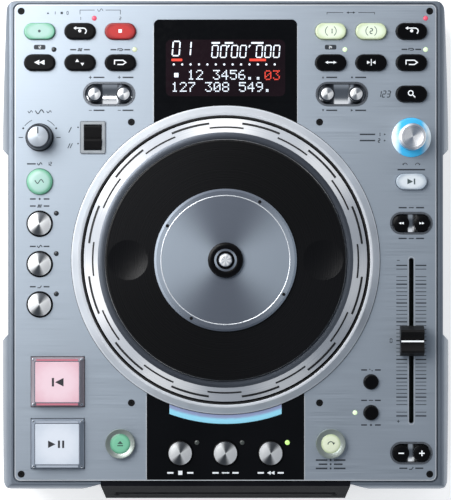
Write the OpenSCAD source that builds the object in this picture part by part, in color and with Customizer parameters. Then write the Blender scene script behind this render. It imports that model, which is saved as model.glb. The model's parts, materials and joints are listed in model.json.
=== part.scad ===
/* [Body] */
// Widest width of the body, across its side wings
body_w = 249; // [247:1:262]
// Depth of the body, from the rear wall to the foot of the fascia
body_len = 281; // [280:1:292]
// Height of the top panel's face above the table
panel_z = 84; // [83:1:92]
// How far the side wings stand out past the top panel
wing_reach = 8; // [7:0.5:9]
// Height of the wings' curved shoulder
shoulder_h = 18; // [14:1:22]
// Width of the groove between the top panel and the shell's rim
groove_w = 1; // [0.6:0.1:1.4]
// Depth of the grip recess in each side
grip_depth = 4.2; // [3:0.1:4.6]
// Length of the grip recess
grip_len = 107; // [95:1:112]
// Thickness of the shell's walls
wall = 2.5; // [2:0.25:3]
// Thickness of the top panel's sheet
panel_t = 2; // [1.5:0.25:2.5]
// Thickness of the base plate
base_t = 1.5; // [1:0.25:2]
// Diameter of a rubber foot
foot_d = 20; // [16:1:24]
// Height of a rubber foot
foot_h = 5; // [4:0.5:7]

/* [Front and rear] */
// Width of the fascia at each side of the disc slot
fascia_cheek = 6.5; // [5.5:0.25:8]
// How far the fascia's foot stands out in front of the shell
fascia_reach = 13.5; // [12:0.5:15]
// Room at each side of a disc in its slot
slot_side = 2.5; // [1.5:0.25:3]
// Height of the disc slot
slot_h = 5.5; // [5:0.25:6.5]
// Height of the disc slot's middle above the table
slot_z = 46; // [45:0.5:48]
// Width of the connector bay
bay_w = 172; // [168:1:180]
// Height of the connector bay
bay_h = 32; // [30:1:36]
// Depth of the connector bay
bay_depth = 12.5; // [11:0.5:14]

/* [Platter] */
// Radius of the platter's rim
platter_r = 78; // [76:0.5:79]
// Radius where the sloping strobe band meets the deck
band_r = 70.2; // [69:0.2:71]
// Height of the platter's deck above the top panel
deck_rise = 11; // [10:0.5:13]
// Radius of the scratch disc
disc_r = 66; // [64:0.5:67.5]
// Thickness of the scratch disc
disc_t = 2.8; // [2:0.2:3.4]
// Radius of the silver hub plate
hub_r = 39; // [36:0.5:41]
// Thickness of the hub plate
hub_t = 2.2; // [1.6:0.2:3]
// Radius of the cap round the spindle
cap_r = 9.6; // [9:0.2:11]
// Height of the cap round the spindle
cap_h = 3; // [2:0.5:4]
// Diameter of the spindle
spindle_d = 7; // [6:0.2:8]
// How far the spindle stands out of the cap
spindle_tip = 5; // [3:0.5:8]
// Radius of a finger dimple
dimple_r = 11; // [9:0.5:12]
// Depth of a finger dimple
dimple_depth = 1.1; // [0.6:0.1:1.4]
// Outer radius of the fixed ring round the platter
ring_r = 85.2; // [84.4:0.2:85.4]
// Height of the fixed ring
ring_h = 4.5; // [3:0.5:6]
// Distance of the platter's centre from the panel's front edge
platter_from_front = 122; // [121:0.5:124]
// Radial width of the lit arc in front of the platter
arc_w = 5; // [4:0.5:6]
// Distance from each end of the light arc to the side of the column
arc_inset = 12.5; // [9.5:0.5:15.5]

/* [Small buttons] */
// Length of an oval button
oval_len = 17; // [16:0.25:18]
// Width of an oval button
oval_wid = 8.9; // [8:0.1:9.5]
// Distance between the columns of oval buttons
oval_pitch = 22.3; // [21.6:0.1:22.8]
// Distance between the two rows of oval buttons
row_pitch = 17.3; // [16:0.1:18]
// Distance of the first row from the panel's rear edge
row1_margin = 14.8; // [13:0.2:16]
// Distance of the outer column from the panel's side edge
side_margin = 13.8; // [13.5:0.1:14.4]
// How far a small button stands out of the panel
button_rise = 2.8; // [2:0.2:3.6]
// Travel of a small button
button_travel = 1; // [0.6:0.1:1.2]
// Diameter of a round metal button
round_d = 14.2; // [13:0.1:15]
// Diameter of the metal face on a round button
face_d = 12.8; // [11.5:0.1:13]
// Distance between the round buttons of the left column
round_pitch = 22.3; // [20:0.1:23]
// Distance between the three round buttons in front of the platter
centre_pitch = 25; // [22:0.5:27]
// Diameter of the small black buttons
dot_d = 8; // [7:0.2:9]

/* [Paired keys] */
// Length of the wells for the metal keys
metal_well_len = 28.8; // [28:0.2:30]
// Width of the wells for the metal keys
metal_well_wid = 13.4; // [13:0.2:14.4]
// Diameter of a metal key
metal_key_d = 8.2; // [7.6:0.2:8.6]
// Distance between two metal keys
metal_key_pitch = 16; // [15.4:0.2:16.4]
// Length of the wells for the black keys
black_well_len = 23.4; // [23.2:0.2:24.6]
// Width of the wells for the black keys
black_well_wid = 12.3; // [12:0.1:13]
// Diameter of a black key
black_key_d = 9; // [8.4:0.2:9.4]
// Distance between two black keys
black_key_pitch = 11.4; // [11:0.1:11.6]
// Depth of a well below the panel's face
well_depth = 4; // [3:0.25:4.25]

/* [Cue and play] */
// Width of the cue and play buttons
big_w = 29.4; // [27:0.2:30]
// Length of the cue and play buttons
big_len = 27.6; // [26:0.2:29]
// Width of the flat top of the cue and play buttons
big_top_w = 24.8; // [22:0.2:26]
// Length of the flat top of the cue and play buttons
big_top_len = 23; // [21:0.2:25]
// How far the cue and play buttons stand out
big_rise = 5; // [4:0.5:7]
// Travel of the cue and play buttons
big_travel = 2.2; // [1.4:0.1:2.4]
// Distance between the cue and play buttons
big_pitch = 34.2; // [33:0.2:36]

/* [Knobs, paddle and fader] */
// Diameter of the effects knob at its foot
effects_d = 15.5; // [14:0.5:17]
// Diameter of the effects knob at its top
effects_top_d = 13.2; // [12:0.2:13.6]
// Height of the effects knob
effects_h = 14; // [10:0.5:16]
// Diameter of the parameter knob
parameter_d = 14.6; // [13:0.2:15.4]
// Height of the parameter knob
parameter_h = 12; // [10:0.5:15]
// Outer diameter of the light round the parameter knob
halo_d = 21.8; // [20:0.2:23]
// Diameter of the knobs' shafts
knob_shaft_d = 6; // [5:0.2:6.4]
// Width of the paddle of the rocker switch
paddle_w = 9.2; // [8:0.2:10]
// Length of the paddle
paddle_len = 13; // [12:0.2:14]
// Swing of the paddle to each side, in degrees
paddle_swing = 7; // [4:0.5:8]
// Travel of the pitch fader to each side of its middle
fader_travel = 41.4; // [38:0.2:43]
// Width of the fader's cap
fader_cap_w = 13; // [11:0.5:14]
// Length of the fader's cap
fader_cap_len = 16.6; // [14:0.2:18]
// Height of the fader's cap
fader_cap_h = 10; // [8:0.5:12]
// Width of the fader's slot
fader_slot_w = 2.6; // [2.4:0.1:3]

/* [Disc loader] */
// Diameter of the disc that it plays
disc_d = 120; // [118:1:121]
// Thickness of the loader's sheet steel
loader_t = 1.5; // [1.2:0.1:1.8]
// Diameter of the turntable under the disc
turntable_d = 30; // [26:1:32]
// Diameter of the rubber feed roller
roller_d = 8; // [7:0.2:9]
// Travel of the pickup sled
sled_travel = 35; // [30:0.5:36]
// Diameter of the sled's guide rods
rod_d = 3; // [2.4:0.2:3.4]

/* [Fits] */
// Gap all round between a button and its hole
button_gap = 0.3; // [0.25:0.05:0.4]
// Radial gap of a shaft in its bearing
running_gap = 0.05; // [0.03:0.01:0.08]
// Gap round a piece that is pressed or screwed into its seat
seat_gap = 0.1; // [0.05:0.05:0.15]
// Diameter of the case screws
screw_d = 2; // [1.8:0.1:2.4]
// Diameter of the case screws' heads
screw_head_d = 3.8; // [3.6:0.1:4.6]

/* [Hidden] */
$fn = 72;
eps = 0.01;

// Plan of the body
panel_w = body_w - 2 * wing_reach;
rear_y = body_len / 2;
front_y = -body_len / 2;
panel_inset = 2.2;
panel_rear_y = rear_y - panel_inset;
shell_mid_y = front_y + fascia_reach;
panel_front_y = shell_mid_y + panel_inset;
panel_len = panel_rear_y - panel_front_y;
panel_mid_y = (panel_rear_y + panel_front_y) / 2;
wing_front_y = shell_mid_y - 3;
panel_corner_r = 3;
grip_y = 5.5;
grip_ramp = 4;
wing_taper = 1.3;
corner_r = 5.5;

// Heights
panel_under = panel_z - panel_t;
rim_drop = 0.4;
shell_top = panel_z - rim_drop;
rim_w = 0.9;
base_z = foot_h;
shell_z = base_z + base_t;
centre_drop = 0.5;
centre_z = panel_z - centre_drop;
centre_t = 2;
centre_under = centre_z - centre_t;
ledge_w = 1.5;

// Places of the controls, measured from the panel's edges
outer_x = panel_w / 2 - side_margin;
mid_x = outer_x - oval_pitch;
inner_x = mid_x - oval_pitch;
column_top_half = inner_x - 18.5;
column_low_half = inner_x - 14.6;
arc_half = column_low_half - arc_inset;
slot_w = disc_d + 2 * slot_side;
fascia_w = slot_w + 2 * fascia_cheek;
row1_y = panel_rear_y - row1_margin;
row2_y = row1_y - row_pitch;
well_y = row2_y - row_pitch;
knob_y = well_y - 24;
tap_y = knob_y - 24.4;
echo_y = tap_y - 23.3;
search_y = tap_y - 23;
front_row_y = panel_front_y + 20.6;
centre_row_y = panel_front_y + 15.2;
play_y = panel_front_y + 20.5;
cue_y = play_y + big_pitch;
big_x = -(panel_w / 2 - 23.8);
bend_y = panel_front_y + 15.3;
range_y = panel_front_y + 37.6;
adjust_y = range_y + 17;
fader_y = panel_front_y + 77.4;
metal_well_x = panel_w / 2 - 52.2;
paddle_x = -(panel_w / 2 - 43.2);

// Lights beside the buttons
led_d = 2.6;
led_proud = 0.3;
oval_led = [7.9, 7.3];
round_led = [9.2, 5.8];
dot_led = [-8.8, 0];

// Key board under the panel, with a switch below each button
board_t = 1.6;
board_drop = 10.4;
board_top = panel_under - board_drop;
board_z = board_top - board_t;
switch_side = 6;
switch_base = 3.4;
switch_h = 4.3;
switch_top = board_top + switch_h;
switch_gap = 0.2;
flange_t = 1.4;
flange_w = 1.1;
flange_gap = 0.1;
stem_d = 4;
edge_r = 0.8;
key_travel = 0.8;
key_stem_d = 5;
key_flange_d = 7;
key_flange_t = 1;
well_wall = 1;
well_floor_t = 1;

// Platter and motor
platter_y = panel_front_y + platter_from_front;
deck_z = panel_z + deck_rise;
deck_t = 4;
rim_low = panel_z + 2.2;
rim_z = panel_z + 5.4;
slip_gap = 0.5;
disc_z = deck_z + slip_gap;
hub_z = disc_z + disc_t;
cap_z = hub_z + hub_t;
tip_z = cap_z + cap_h + spindle_tip;
shaft_d = spindle_d - 0.6;
spindle_neck = 0.3;
spindle_round = 1.4;
hole_r = 60;
well_r = platter_r + 1.2;
ring_in_r = platter_r + 2;
arc_in_r = ring_r + 0.4;
arc_out_r = arc_in_r + arc_w;
rotor_r = 54;
rotor_t = 3.5;
stator_r = 47;
coil_count = 12;
plate_t = 2;
plate_z = panel_under - 22;
bearing_r = 9;
bearing_top = panel_z - 1;
boss_r = 12;
post_r = 3.5;
post_reach = 52;
post_side = 8.5;
post_x = max(post_reach, column_low_half + post_side);
post_rear_y = platter_y + 76.2;
post_front_y = platter_y - 79;

// Disc loader
turntable_y = shell_mid_y + 65;
loader_w = disc_d + 14;
loader_front_y = shell_mid_y + wall + 0.2;
loader_rear_y = turntable_y + disc_d / 2 + 18;
loader_z = slot_z - 19;
loader_top = slot_z + 11;
path_low = slot_z - slot_h / 2;
turntable_z = path_low - 3.2;
turntable_t = 1.5;
turntable_shaft_d = 2;
motor_r = 12;
sled_len = 20;
sled_w = 46;
sled_h = 8;
sled_z = loader_z + 3;
rod_x = 18;
rod_block_t = 3;
lens_d = 6;
lens_y = turntable_y + 23;
roller_y = shell_mid_y + 15;
roller_z = path_low - roller_d / 2 - 0.2;
roller_shaft_d = 3;
leg_r = 4;
leg_x = loader_w / 2 - 6;

// Rear connectors
bay_z = 37;
bay_floor_y = rear_y - bay_depth;
bay_wall = 2;
jack_r = 4.2;
jack_len = 9;
inlet_x = -60;
inlet_w = 24.5;
inlet_h = 16.5;
power_x = -28;
power_w = 14;
power_h = 9;
power_travel = 3;
power_rise = 6;

// Colours
silver = "#a9b8c6";
black = "#141416";
chrome = "#d9dde2";

function arc_points(c, r, a0, a1, n = 6) =
    [for (i = [0:n]) let (a = a0 + (a1 - a0) * i / n) [c[0] + r * cos(a), c[1] + r * sin(a)]];

// Right half of the shell's plan, drawn in by an inset
function shell_side(inset) = concat(
    [[0, shell_mid_y + inset], [fascia_w / 2 + 1, shell_mid_y + inset],
     [fascia_w / 2 + 11, wing_front_y + inset]],
    arc_points([body_w / 2 - wing_taper - corner_r, wing_front_y + corner_r], corner_r - inset, -90, 0),
    [[body_w / 2 - inset, grip_y - grip_len / 2 - grip_ramp - 12],
     [body_w / 2 - inset, grip_y - grip_len / 2],
     [body_w / 2 - grip_depth - inset, grip_y - grip_len / 2 + grip_ramp],
     [body_w / 2 - grip_depth - inset, grip_y + grip_len / 2 - grip_ramp],
     [body_w / 2 - inset, grip_y + grip_len / 2],
     [body_w / 2 - wing_taper - inset, grip_y + grip_len / 2 + 32]],
    arc_points([body_w / 2 - 3.2 - corner_r, rear_y - corner_r], corner_r - inset, 0, 90),
    [[0, rear_y - inset]]);

function mirrored(points) = [for (i = [len(points) - 1:-1:0]) [-points[i][0], points[i][1]]];

module shell_plan(inset) {
    polygon(concat(shell_side(inset), mirrored(shell_side(inset))));
}

// Front view of the shell: straight flanks, a curved shoulder and a tucked-in foot
module shell_front(inset) {
    steps = 8;
    half = body_w / 2 - inset;
    top_half = panel_w / 2 + groove_w + rim_w - inset;
    shoulder = [for (i = [0:steps]) let (a = 90 * i / steps)
        [top_half + (half - top_half) * cos(a), shell_top - inset - shoulder_h + shoulder_h * sin(a)]];
    right = concat([[half - 3, shell_z - eps], [half, shell_z + 8]], shoulder);
    polygon(concat(right, mirrored(right)));
}

// Side view of the shell, with its front and rear top edges eased
module shell_flank(inset) {
    steps = 6;
    nose_y = wing_front_y + 3.4;
    nose_r = 9;
    nose = [for (i = [0:steps]) let (a = 90 * i / steps)
        [nose_y + inset - 3.4 * cos(a), shell_top - inset - nose_r + nose_r * sin(a)]];
    polygon(concat([[wing_front_y + inset, shell_z - eps]], nose,
        [[rear_y - 0.6 - inset, shell_top - inset], [rear_y - inset, shell_top - 0.8 - inset],
         [rear_y - inset, shell_z - eps]]));
}

module shell_form(inset) {
    intersection() {
        translate([0, 0, shell_z]) linear_extrude(shell_top - shell_z - inset) shell_plan(inset);
        translate([0, body_len, 0]) rotate([90, 0, 0]) linear_extrude(2 * body_len) shell_front(inset);
        translate([-body_w, 0, 0]) rotate([90, 0, 90]) linear_extrude(2 * body_w) shell_flank(inset);
    }
}

module stadium(len, wid) {
    square([len - wid, wid], center = true);
    for (s = [-1, 1])
        translate([s * (len - wid) / 2, 0]) circle(d = wid);
}

module rounded_rect(w, l, r) {
    square([w - 2 * r, l], center = true);
    square([w, l - 2 * r], center = true);
    for (i = [-1, 1], j = [-1, 1])
        translate([i * (w / 2 - r), j * (l / 2 - r)]) circle(r);
}

module cap_profile(r, h, edge) {
    square([r - edge, h]);
    square([r, h - edge]);
    translate([r - edge, h - edge]) circle(edge);
}

// Block with round ends and a rounded upper edge
module pill(len, wid, h, edge) {
    for (s = [-1, 1])
        translate([s * (len - wid) / 2, 0, 0])
            rotate([0, 0, -90 * s]) rotate_extrude(angle = 180) cap_profile(wid / 2, h, edge);
    translate([-(len - wid) / 2, 0, 0])
        rotate([90, 0, 90])
            linear_extrude(len - wid) {
                cap_profile(wid / 2, h, edge);
                mirror([1, 0]) cap_profile(wid / 2, h, edge);
            }
}

module ring(r_in, r_out, h) {
    difference() {
        cylinder(r = r_out, h = h);
        translate([0, 0, -1]) cylinder(r = r_in, h = h + 2);
    }
}

module at_platter() {
    translate([0, platter_y, 0]) children();
}

// Stem that ends just above its switch when the button is fully down
module stem(d, top, travel) {
    low = switch_top + travel + switch_gap;
    translate([0, 0, low]) cylinder(d = d, h = top - low + eps);
}

// ---- the small buttons ----

module oval_button(x, y) {
    flange_top = panel_under - flange_gap;
    translate([x, y, 0]) {
        stem(stem_d, flange_top - flange_t, button_travel);
        translate([0, 0, flange_top - flange_t])
            linear_extrude(flange_t) stadium(oval_len + 2 * flange_w, oval_wid + 2 * flange_w);
        translate([0, 0, flange_top - eps])
            pill(oval_len, oval_wid, panel_z + button_rise - flange_top + eps, edge_r);
    }
}

// Round button: a black collar that carries a slightly crowned metal face
module round_button(x, y, under, face) {
    flange_top = under - flange_gap;
    crown_r = 34;
    translate([x, y, 0]) {
        stem(stem_d, flange_top - flange_t, button_travel);
        translate([0, 0, flange_top - flange_t]) cylinder(d = round_d + 2 * flange_w, h = flange_t + eps);
        translate([0, 0, flange_top])
            rotate_extrude() cap_profile(round_d / 2, face + 1 - flange_top, edge_r / 2);
        intersection() {
            translate([0, 0, face + 1 - eps]) cylinder(d = face_d, h = button_rise);
            translate([0, 0, face + button_rise - crown_r]) sphere(crown_r, $fn = 144);
        }
    }
}

// Round button with a lit face set in a bright ring
module lit_button(x, y, face_share) {
    flange_top = panel_under - flange_gap;
    face_r = round_d / 2 * face_share;
    translate([x, y, 0]) {
        stem(stem_d, flange_top - flange_t, button_travel);
        translate([0, 0, flange_top - flange_t]) cylinder(d = round_d + 2 * flange_w, h = flange_t + eps);
        translate([0, 0, flange_top])
            rotate_extrude() cap_profile(round_d / 2, panel_z + button_rise - 0.4 - flange_top, edge_r);
        translate([0, 0, panel_z + button_rise - 0.4 - eps])
            cylinder(r1 = face_r, r2 = face_r - 0.4, h = 0.4);
    }
}

module dot_button(x, y) {
    flange_top = panel_under - flange_gap;
    translate([x, y, 0]) {
        stem(stem_d, flange_top - flange_t, button_travel);
        translate([0, 0, flange_top - flange_t]) cylinder(d = dot_d + 2 * flange_w, h = flange_t + eps);
        translate([0, 0, flange_top])
            rotate_extrude() cap_profile(dot_d / 2, panel_z + button_rise - 0.6 - flange_top, edge_r);
    }
}

// Key in a well: a stem through the well's floor under a round cap
module well_key(x, y, d, crown_r) {
    floor_under = panel_z - well_depth - well_floor_t;
    cap_low = panel_z - well_depth + key_travel + 0.3;
    translate([x, y, 0]) {
        stem(stem_d, floor_under - flange_gap - key_flange_t, key_travel);
        translate([0, 0, floor_under - flange_gap - key_flange_t])
            cylinder(d = key_flange_d, h = key_flange_t);
        translate([0, 0, floor_under - flange_gap - eps])
            cylinder(d = key_stem_d, h = cap_low - floor_under + flange_gap + 2 * eps);
        intersection() {
            translate([0, 0, cap_low]) cylinder(d = d, h = 10);
            translate([0, 0, panel_z + 2 - crown_r]) sphere(crown_r, $fn = 144);
        }
    }
}

// Cue and play: a hollow cap with bevelled sides and a flat lit top
module big_button(y) {
    flange_top = panel_under - flange_gap;
    rise_z = panel_z + 1.2;
    translate([big_x, y, 0]) {
        stem(6, flange_top - flange_t, big_travel);
        translate([0, 0, flange_top - flange_t])
            linear_extrude(flange_t) rounded_rect(big_w + 2 * flange_w, big_len + 2 * flange_w, 1.5);
        translate([0, 0, flange_top - eps])
            linear_extrude(rise_z - flange_top + eps) rounded_rect(big_w, big_len, 1);
        hull() {
            translate([0, 0, rise_z - eps])
                linear_extrude(eps) square([big_w - 0.6, big_len - 0.6], center = true);
            translate([0, 0, panel_z + big_rise - eps])
                linear_extrude(eps) square([big_top_w, big_top_len], center = true);
        }
    }
}

module sample_button() { color("#a6ecca") oval_button(-outer_x, row1_y); }
module loop_a_button() { color(black) oval_button(-mid_x, row1_y); }
module stop_button() { color("#e0403f") oval_button(-inner_x, row1_y); }
module rev_button() { color(black) oval_button(-outer_x, row2_y); }
module pitch_key_button() { color(black) oval_button(-mid_x, row2_y); }
module exit_left_button() { color(black) oval_button(-inner_x, row2_y); }
module loop_1_button() { color("#e6f7dc") oval_button(inner_x, row1_y); }
module loop_2_button() { color("#e6f7dc") oval_button(mid_x, row1_y); }
module loop_b_button() { color(black) oval_button(outer_x, row1_y); }
module flip_button() { color(black) oval_button(inner_x, row2_y); }
module trim_button() { color(black) oval_button(mid_x, row2_y); }
module exit_right_button() { color(black) oval_button(outer_x, row2_y); }
module file_search_button() { color(black) oval_button(outer_x, well_y); }
module next_track_button() { color("#dfe8ec") oval_button(outer_x, tap_y); }

module time_key() { color(chrome) well_key(-metal_well_x - metal_key_pitch / 2, well_y, metal_key_d, 7); }
module preset_key() { color(chrome) well_key(-metal_well_x + metal_key_pitch / 2, well_y, metal_key_d, 7); }
module title_key() { color(chrome) well_key(metal_well_x - metal_key_pitch / 2, well_y, metal_key_d, 7); }
module single_key() { color(chrome) well_key(metal_well_x + metal_key_pitch / 2, well_y, metal_key_d, 7); }
module search_back_key() { color(black) well_key(outer_x - black_key_pitch / 2, search_y, black_key_d, 16); }
module search_forward_key() {
    color(black) well_key(outer_x + black_key_pitch / 2, search_y, black_key_d, 16);
}
module bend_down_key() { color(black) well_key(outer_x - black_key_pitch / 2, bend_y, black_key_d, 16); }
module bend_up_key() { color(black) well_key(outer_x + black_key_pitch / 2, bend_y, black_key_d, 16); }

module tap_button() { color("#b5f0d5") lit_button(-outer_x, tap_y, 0.86); }
module echo_button() { color(chrome) round_button(-outer_x, echo_y, panel_under, panel_z); }
module flanger_button() { color(chrome) round_button(-outer_x, echo_y - round_pitch, panel_under, panel_z); }
module filter_button() {
    color(chrome) round_button(-outer_x, echo_y - 2 * round_pitch, panel_under, panel_z);
}
module brake_button() { color(chrome) round_button(-centre_pitch, centre_row_y, centre_under, centre_z); }
module dump_button() { color(chrome) round_button(0, centre_row_y, centre_under, centre_z); }
module reverse_button() { color(chrome) round_button(centre_pitch, centre_row_y, centre_under, centre_z); }
module eject_button() { color("#7fc9a2") lit_button(-inner_x, front_row_y, 0.7); }
module platter_mode_button() { color("#e3efc8") lit_button(inner_x, front_row_y, 0.64); }
module key_adjust_button() { color(black) dot_button(mid_x, adjust_y); }
module pitch_range_button() { color(black) dot_button(mid_x, range_y); }
module cue_button() { color("#ffc4d2") big_button(cue_y); }
module play_button() { color("#d4dde2") big_button(play_y); }

// ---- knobs, paddle and fader ----

module knob_shaft() {
    translate([0, 0, board_top + 6]) cylinder(d = knob_shaft_d, h = panel_z + 1 - board_top - 6);
}

module effects_knob() {
    flutes = 24;
    low = panel_z + 0.4;
    color(chrome) translate([-outer_x, knob_y, 0]) {
        knob_shaft();
        difference() {
            union() {
                translate([0, 0, low]) cylinder(d = effects_d, h = 2);
                translate([0, 0, low + 2 - eps])
                    cylinder(d1 = effects_d - 1, d2 = effects_top_d, h = effects_h - 3 + eps);
                translate([0, 0, low + effects_h - 1 - eps])
                    cylinder(d1 = effects_top_d, d2 = effects_top_d - 1.4, h = 1);
            }
            for (i = [0:flutes - 1])
                rotate([0, 0, 360 / flutes * (i + 0.5)])
                    translate([effects_d / 2 + 0.1, 0, low + 3]) cylinder(r = 0.7, h = effects_h);
            translate([-0.5, 2, low + effects_h - 0.6]) cube([1, effects_d, 2]);
        }
    }
}

module parameter_knob() {
    low = panel_z + 1;
    dish_r = 24;
    color(chrome) translate([outer_x, knob_y, 0]) {
        knob_shaft();
        difference() {
            translate([0, 0, low]) rotate_extrude() cap_profile(parameter_d / 2, parameter_h, 1.2);
            translate([0, 0, low + parameter_h - 0.7 + dish_r]) sphere(dish_r, $fn = 144);
        }
    }
}

paddle_pivot_z = panel_z - 2.5;
paddle_pin_d = 2;
paddle_depth = 4;
paddle_high = 4.6;
paddle_gap = paddle_high * sin(paddle_swing) + 0.34;

// Rocker with a finger ridge, on a pin that runs in the sides of its housing
module effects_paddle() {
    half = paddle_len / 2;
    color(black) translate([paddle_x, knob_y, paddle_pivot_z]) {
        translate([-paddle_w / 2, 0, 0])
            rotate([90, 0, 90])
                linear_extrude(paddle_w)
                    polygon([[-half + 1.5, -paddle_depth], [half - 1.5, -paddle_depth],
                        [half, 0], [half, paddle_high - 0.5], [half - 1, paddle_high],
                        [0, paddle_high - 0.9], [-1, paddle_high + 1], [-2.2, paddle_high + 1],
                        [-half + 1, paddle_high], [-half, paddle_high - 0.5], [-half, 0]]);
        translate([-paddle_w / 2 - 1.5, 0, 0])
            rotate([0, 90, 0]) cylinder(d = paddle_pin_d, h = paddle_w + 3);
    }
}

// Housing of the paddle: a tray under the panel with a thin frame on top
module paddle_housing() {
    in_w = paddle_w + 0.6;
    in_len = paddle_len + 2 * paddle_gap;
    low = paddle_pivot_z - paddle_depth - 2.2;
    translate([paddle_x, knob_y, 0])
        difference() {
            union() {
                translate([0, 0, low])
                    linear_extrude(panel_z - low) square([in_w + 3, in_len + 2], center = true);
                translate([0, 0, panel_z]) linear_extrude(0.8) rounded_rect(in_w + 4.4, in_len + 3.4, 1);
            }
            translate([0, 0, low + 1]) linear_extrude(20) square([in_w, in_len], center = true);
            translate([-in_w, 0, paddle_pivot_z])
                rotate([0, 90, 0]) cylinder(d = paddle_pin_d + 2 * running_gap, h = 2 * in_w);
        }
}

fader_stem_w = fader_slot_w - 1;
fader_stem_len = 6;
fader_low = board_top + 3;
fader_cap_z = panel_z + 2;

module pitch_fader() {
    half = fader_cap_len / 2;
    color(black) translate([outer_x, fader_y, 0]) {
        translate([0, 0, (fader_low + fader_cap_z) / 2 + 0.25])
            cube([fader_stem_w, fader_stem_len, fader_cap_z - fader_low + 0.5], center = true);
        translate([-fader_cap_w / 2, 0, fader_cap_z])
            rotate([90, 0, 90])
                linear_extrude(fader_cap_w)
                    polygon([[-half, 0], [half, 0], [half, fader_cap_h * 0.35], [half - 2, fader_cap_h * 0.9],
                        [half - 3.2, fader_cap_h], [2.4, fader_cap_h - 1.6], [0.6, fader_cap_h - 1.9],
                        [0.6, fader_cap_h - 1.2], [-0.6, fader_cap_h - 1.2], [-0.6, fader_cap_h - 1.9],
                        [-2.4, fader_cap_h - 1.6], [-half + 3.2, fader_cap_h], [-half + 2, fader_cap_h * 0.9],
                        [-half, fader_cap_h * 0.35]]);
    }
}

// Box that guides the fader's stem, on the key board
module fader_box() {
    len = 2 * fader_travel + fader_stem_len + 10;
    translate([outer_x, fader_y, board_top - eps])
        difference() {
            linear_extrude(7.5) square([12, len], center = true);
            translate([0, 0, 1.5]) linear_extrude(10) square([fader_slot_w, len - 3], center = true);
        }
}

// ---- the panels ----

button_places = [
    for (x = [outer_x, mid_x, inner_x], s = [-1, 1], y = [row1_y, row2_y]) [s * x, y]];
oval_places = concat(button_places, [[outer_x, well_y], [outer_x, tap_y]]);
round_places = [[-outer_x, tap_y], [-outer_x, echo_y], [-outer_x, echo_y - round_pitch],
    [-outer_x, echo_y - 2 * round_pitch], [-inner_x, front_row_y], [inner_x, front_row_y]];
centre_places = [for (i = [-1:1]) [i * centre_pitch, centre_row_y]];
dot_places = [[mid_x, adjust_y], [mid_x, range_y]];
big_places = [[big_x, cue_y], [big_x, play_y]];
metal_wells = [[-metal_well_x, well_y], [metal_well_x, well_y]];
black_wells = [[outer_x, search_y], [outer_x, bend_y]];
key_places = concat(
    [for (w = metal_wells, s = [-1, 1]) [w[0] + s * metal_key_pitch / 2, w[1]]],
    [for (w = black_wells, s = [-1, 1]) [w[0] + s * black_key_pitch / 2, w[1]]]);
panel_leds = concat(
    [for (p = [[-mid_x, row1_y], [outer_x, row1_y], [-outer_x, row2_y], [-inner_x, row2_y],
        [inner_x, row2_y], [outer_x, row2_y]]) p + oval_led],
    [for (i = [0:2]) [-outer_x, echo_y - i * round_pitch] + round_led],
    [[mid_x, range_y] + dot_led]);
centre_leds = [for (p = centre_places) p + round_led];
corner_inset = 3.6;
corner_screws = [for (i = [-1, 1], y = [panel_rear_y - corner_inset, panel_front_y + corner_inset])
    [i * (panel_w / 2 - corner_inset), y]];
post_screws = [for (i = [-1, 1], y = [post_rear_y, post_front_y]) [i * post_x, y]];

// Plan of the black column that runs down the middle of the top
column_top_y = panel_rear_y - 8.2;
arc_gap = 0.1;

module column_plan(inset) {
    translate([-column_top_half + inset, platter_y])
        square([2 * (column_top_half - inset), column_top_y - inset - platter_y]);
    translate([-column_low_half + inset, panel_front_y])
        square([2 * (column_low_half - inset), platter_y - panel_front_y]);
    translate([0, platter_y]) circle(well_r - inset);
}

module panel_holes() {
    for (p = oval_places) translate(p) stadium(oval_len + 2 * button_gap, oval_wid + 2 * button_gap);
    for (p = round_places) translate(p) circle(d = round_d + 2 * button_gap);
    for (p = dot_places) translate(p) circle(d = dot_d + 2 * button_gap);
    for (p = big_places)
        translate(p) square([big_w + 2 * button_gap, big_len + 2 * button_gap], center = true);
    for (p = metal_wells)
        translate(p) stadium(metal_well_len + 2 * seat_gap, metal_well_wid + 2 * seat_gap);
    for (p = black_wells)
        translate(p) stadium(black_well_len + 2 * seat_gap, black_well_wid + 2 * seat_gap);
    for (p = panel_leds) translate(p) circle(d = led_d + 2 * seat_gap);
    for (p = concat(corner_screws, post_screws)) translate(p) circle(d = screw_d + 2 * seat_gap);
    translate([-outer_x, knob_y]) circle(d = knob_shaft_d + 2 * running_gap);
    translate([outer_x, knob_y]) circle(d = halo_d + 2 * seat_gap);
    translate([paddle_x, knob_y])
        square([paddle_w + 3.6 + 2 * seat_gap, paddle_len + 2 * paddle_gap + 2 + 2 * seat_gap],
            center = true);
    translate([outer_x, fader_y]) rotate([0, 0, 90])
        stadium(2 * fader_travel + fader_stem_len + fader_slot_w, fader_slot_w);
}

// Cone that sinks a screw's head into a sheet, from the named screw sizes
module head_seat(gap) {
    depth = (screw_head_d - screw_d) / 2;
    translate([0, 0, -depth]) cylinder(d1 = screw_d + 2 * gap, d2 = screw_head_d + 2 * gap, h = depth + eps);
}

module top_panel() {
    color(silver)
        difference() {
            translate([0, 0, panel_under])
                linear_extrude(panel_t)
                    difference() {
                        translate([0, panel_mid_y]) rounded_rect(panel_w, panel_len, panel_corner_r);
                        column_plan(0);
                        panel_holes();
                        translate([-column_low_half, panel_front_y - 1]) square([2 * column_low_half, 2]);
                    }
            for (p = concat(corner_screws, post_screws))
                translate([p[0], p[1], panel_z]) head_seat(seat_gap);
        }
}

module arc_plan(gap) {
    intersection() {
        difference() {
            circle(arc_out_r + gap);
            circle(arc_in_r - gap);
        }
        translate([-arc_half - gap, -2 * arc_out_r]) square([2 * (arc_half + gap), 2 * arc_out_r]);
    }
}

window_line_y = panel_rear_y - 54.1;

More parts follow.
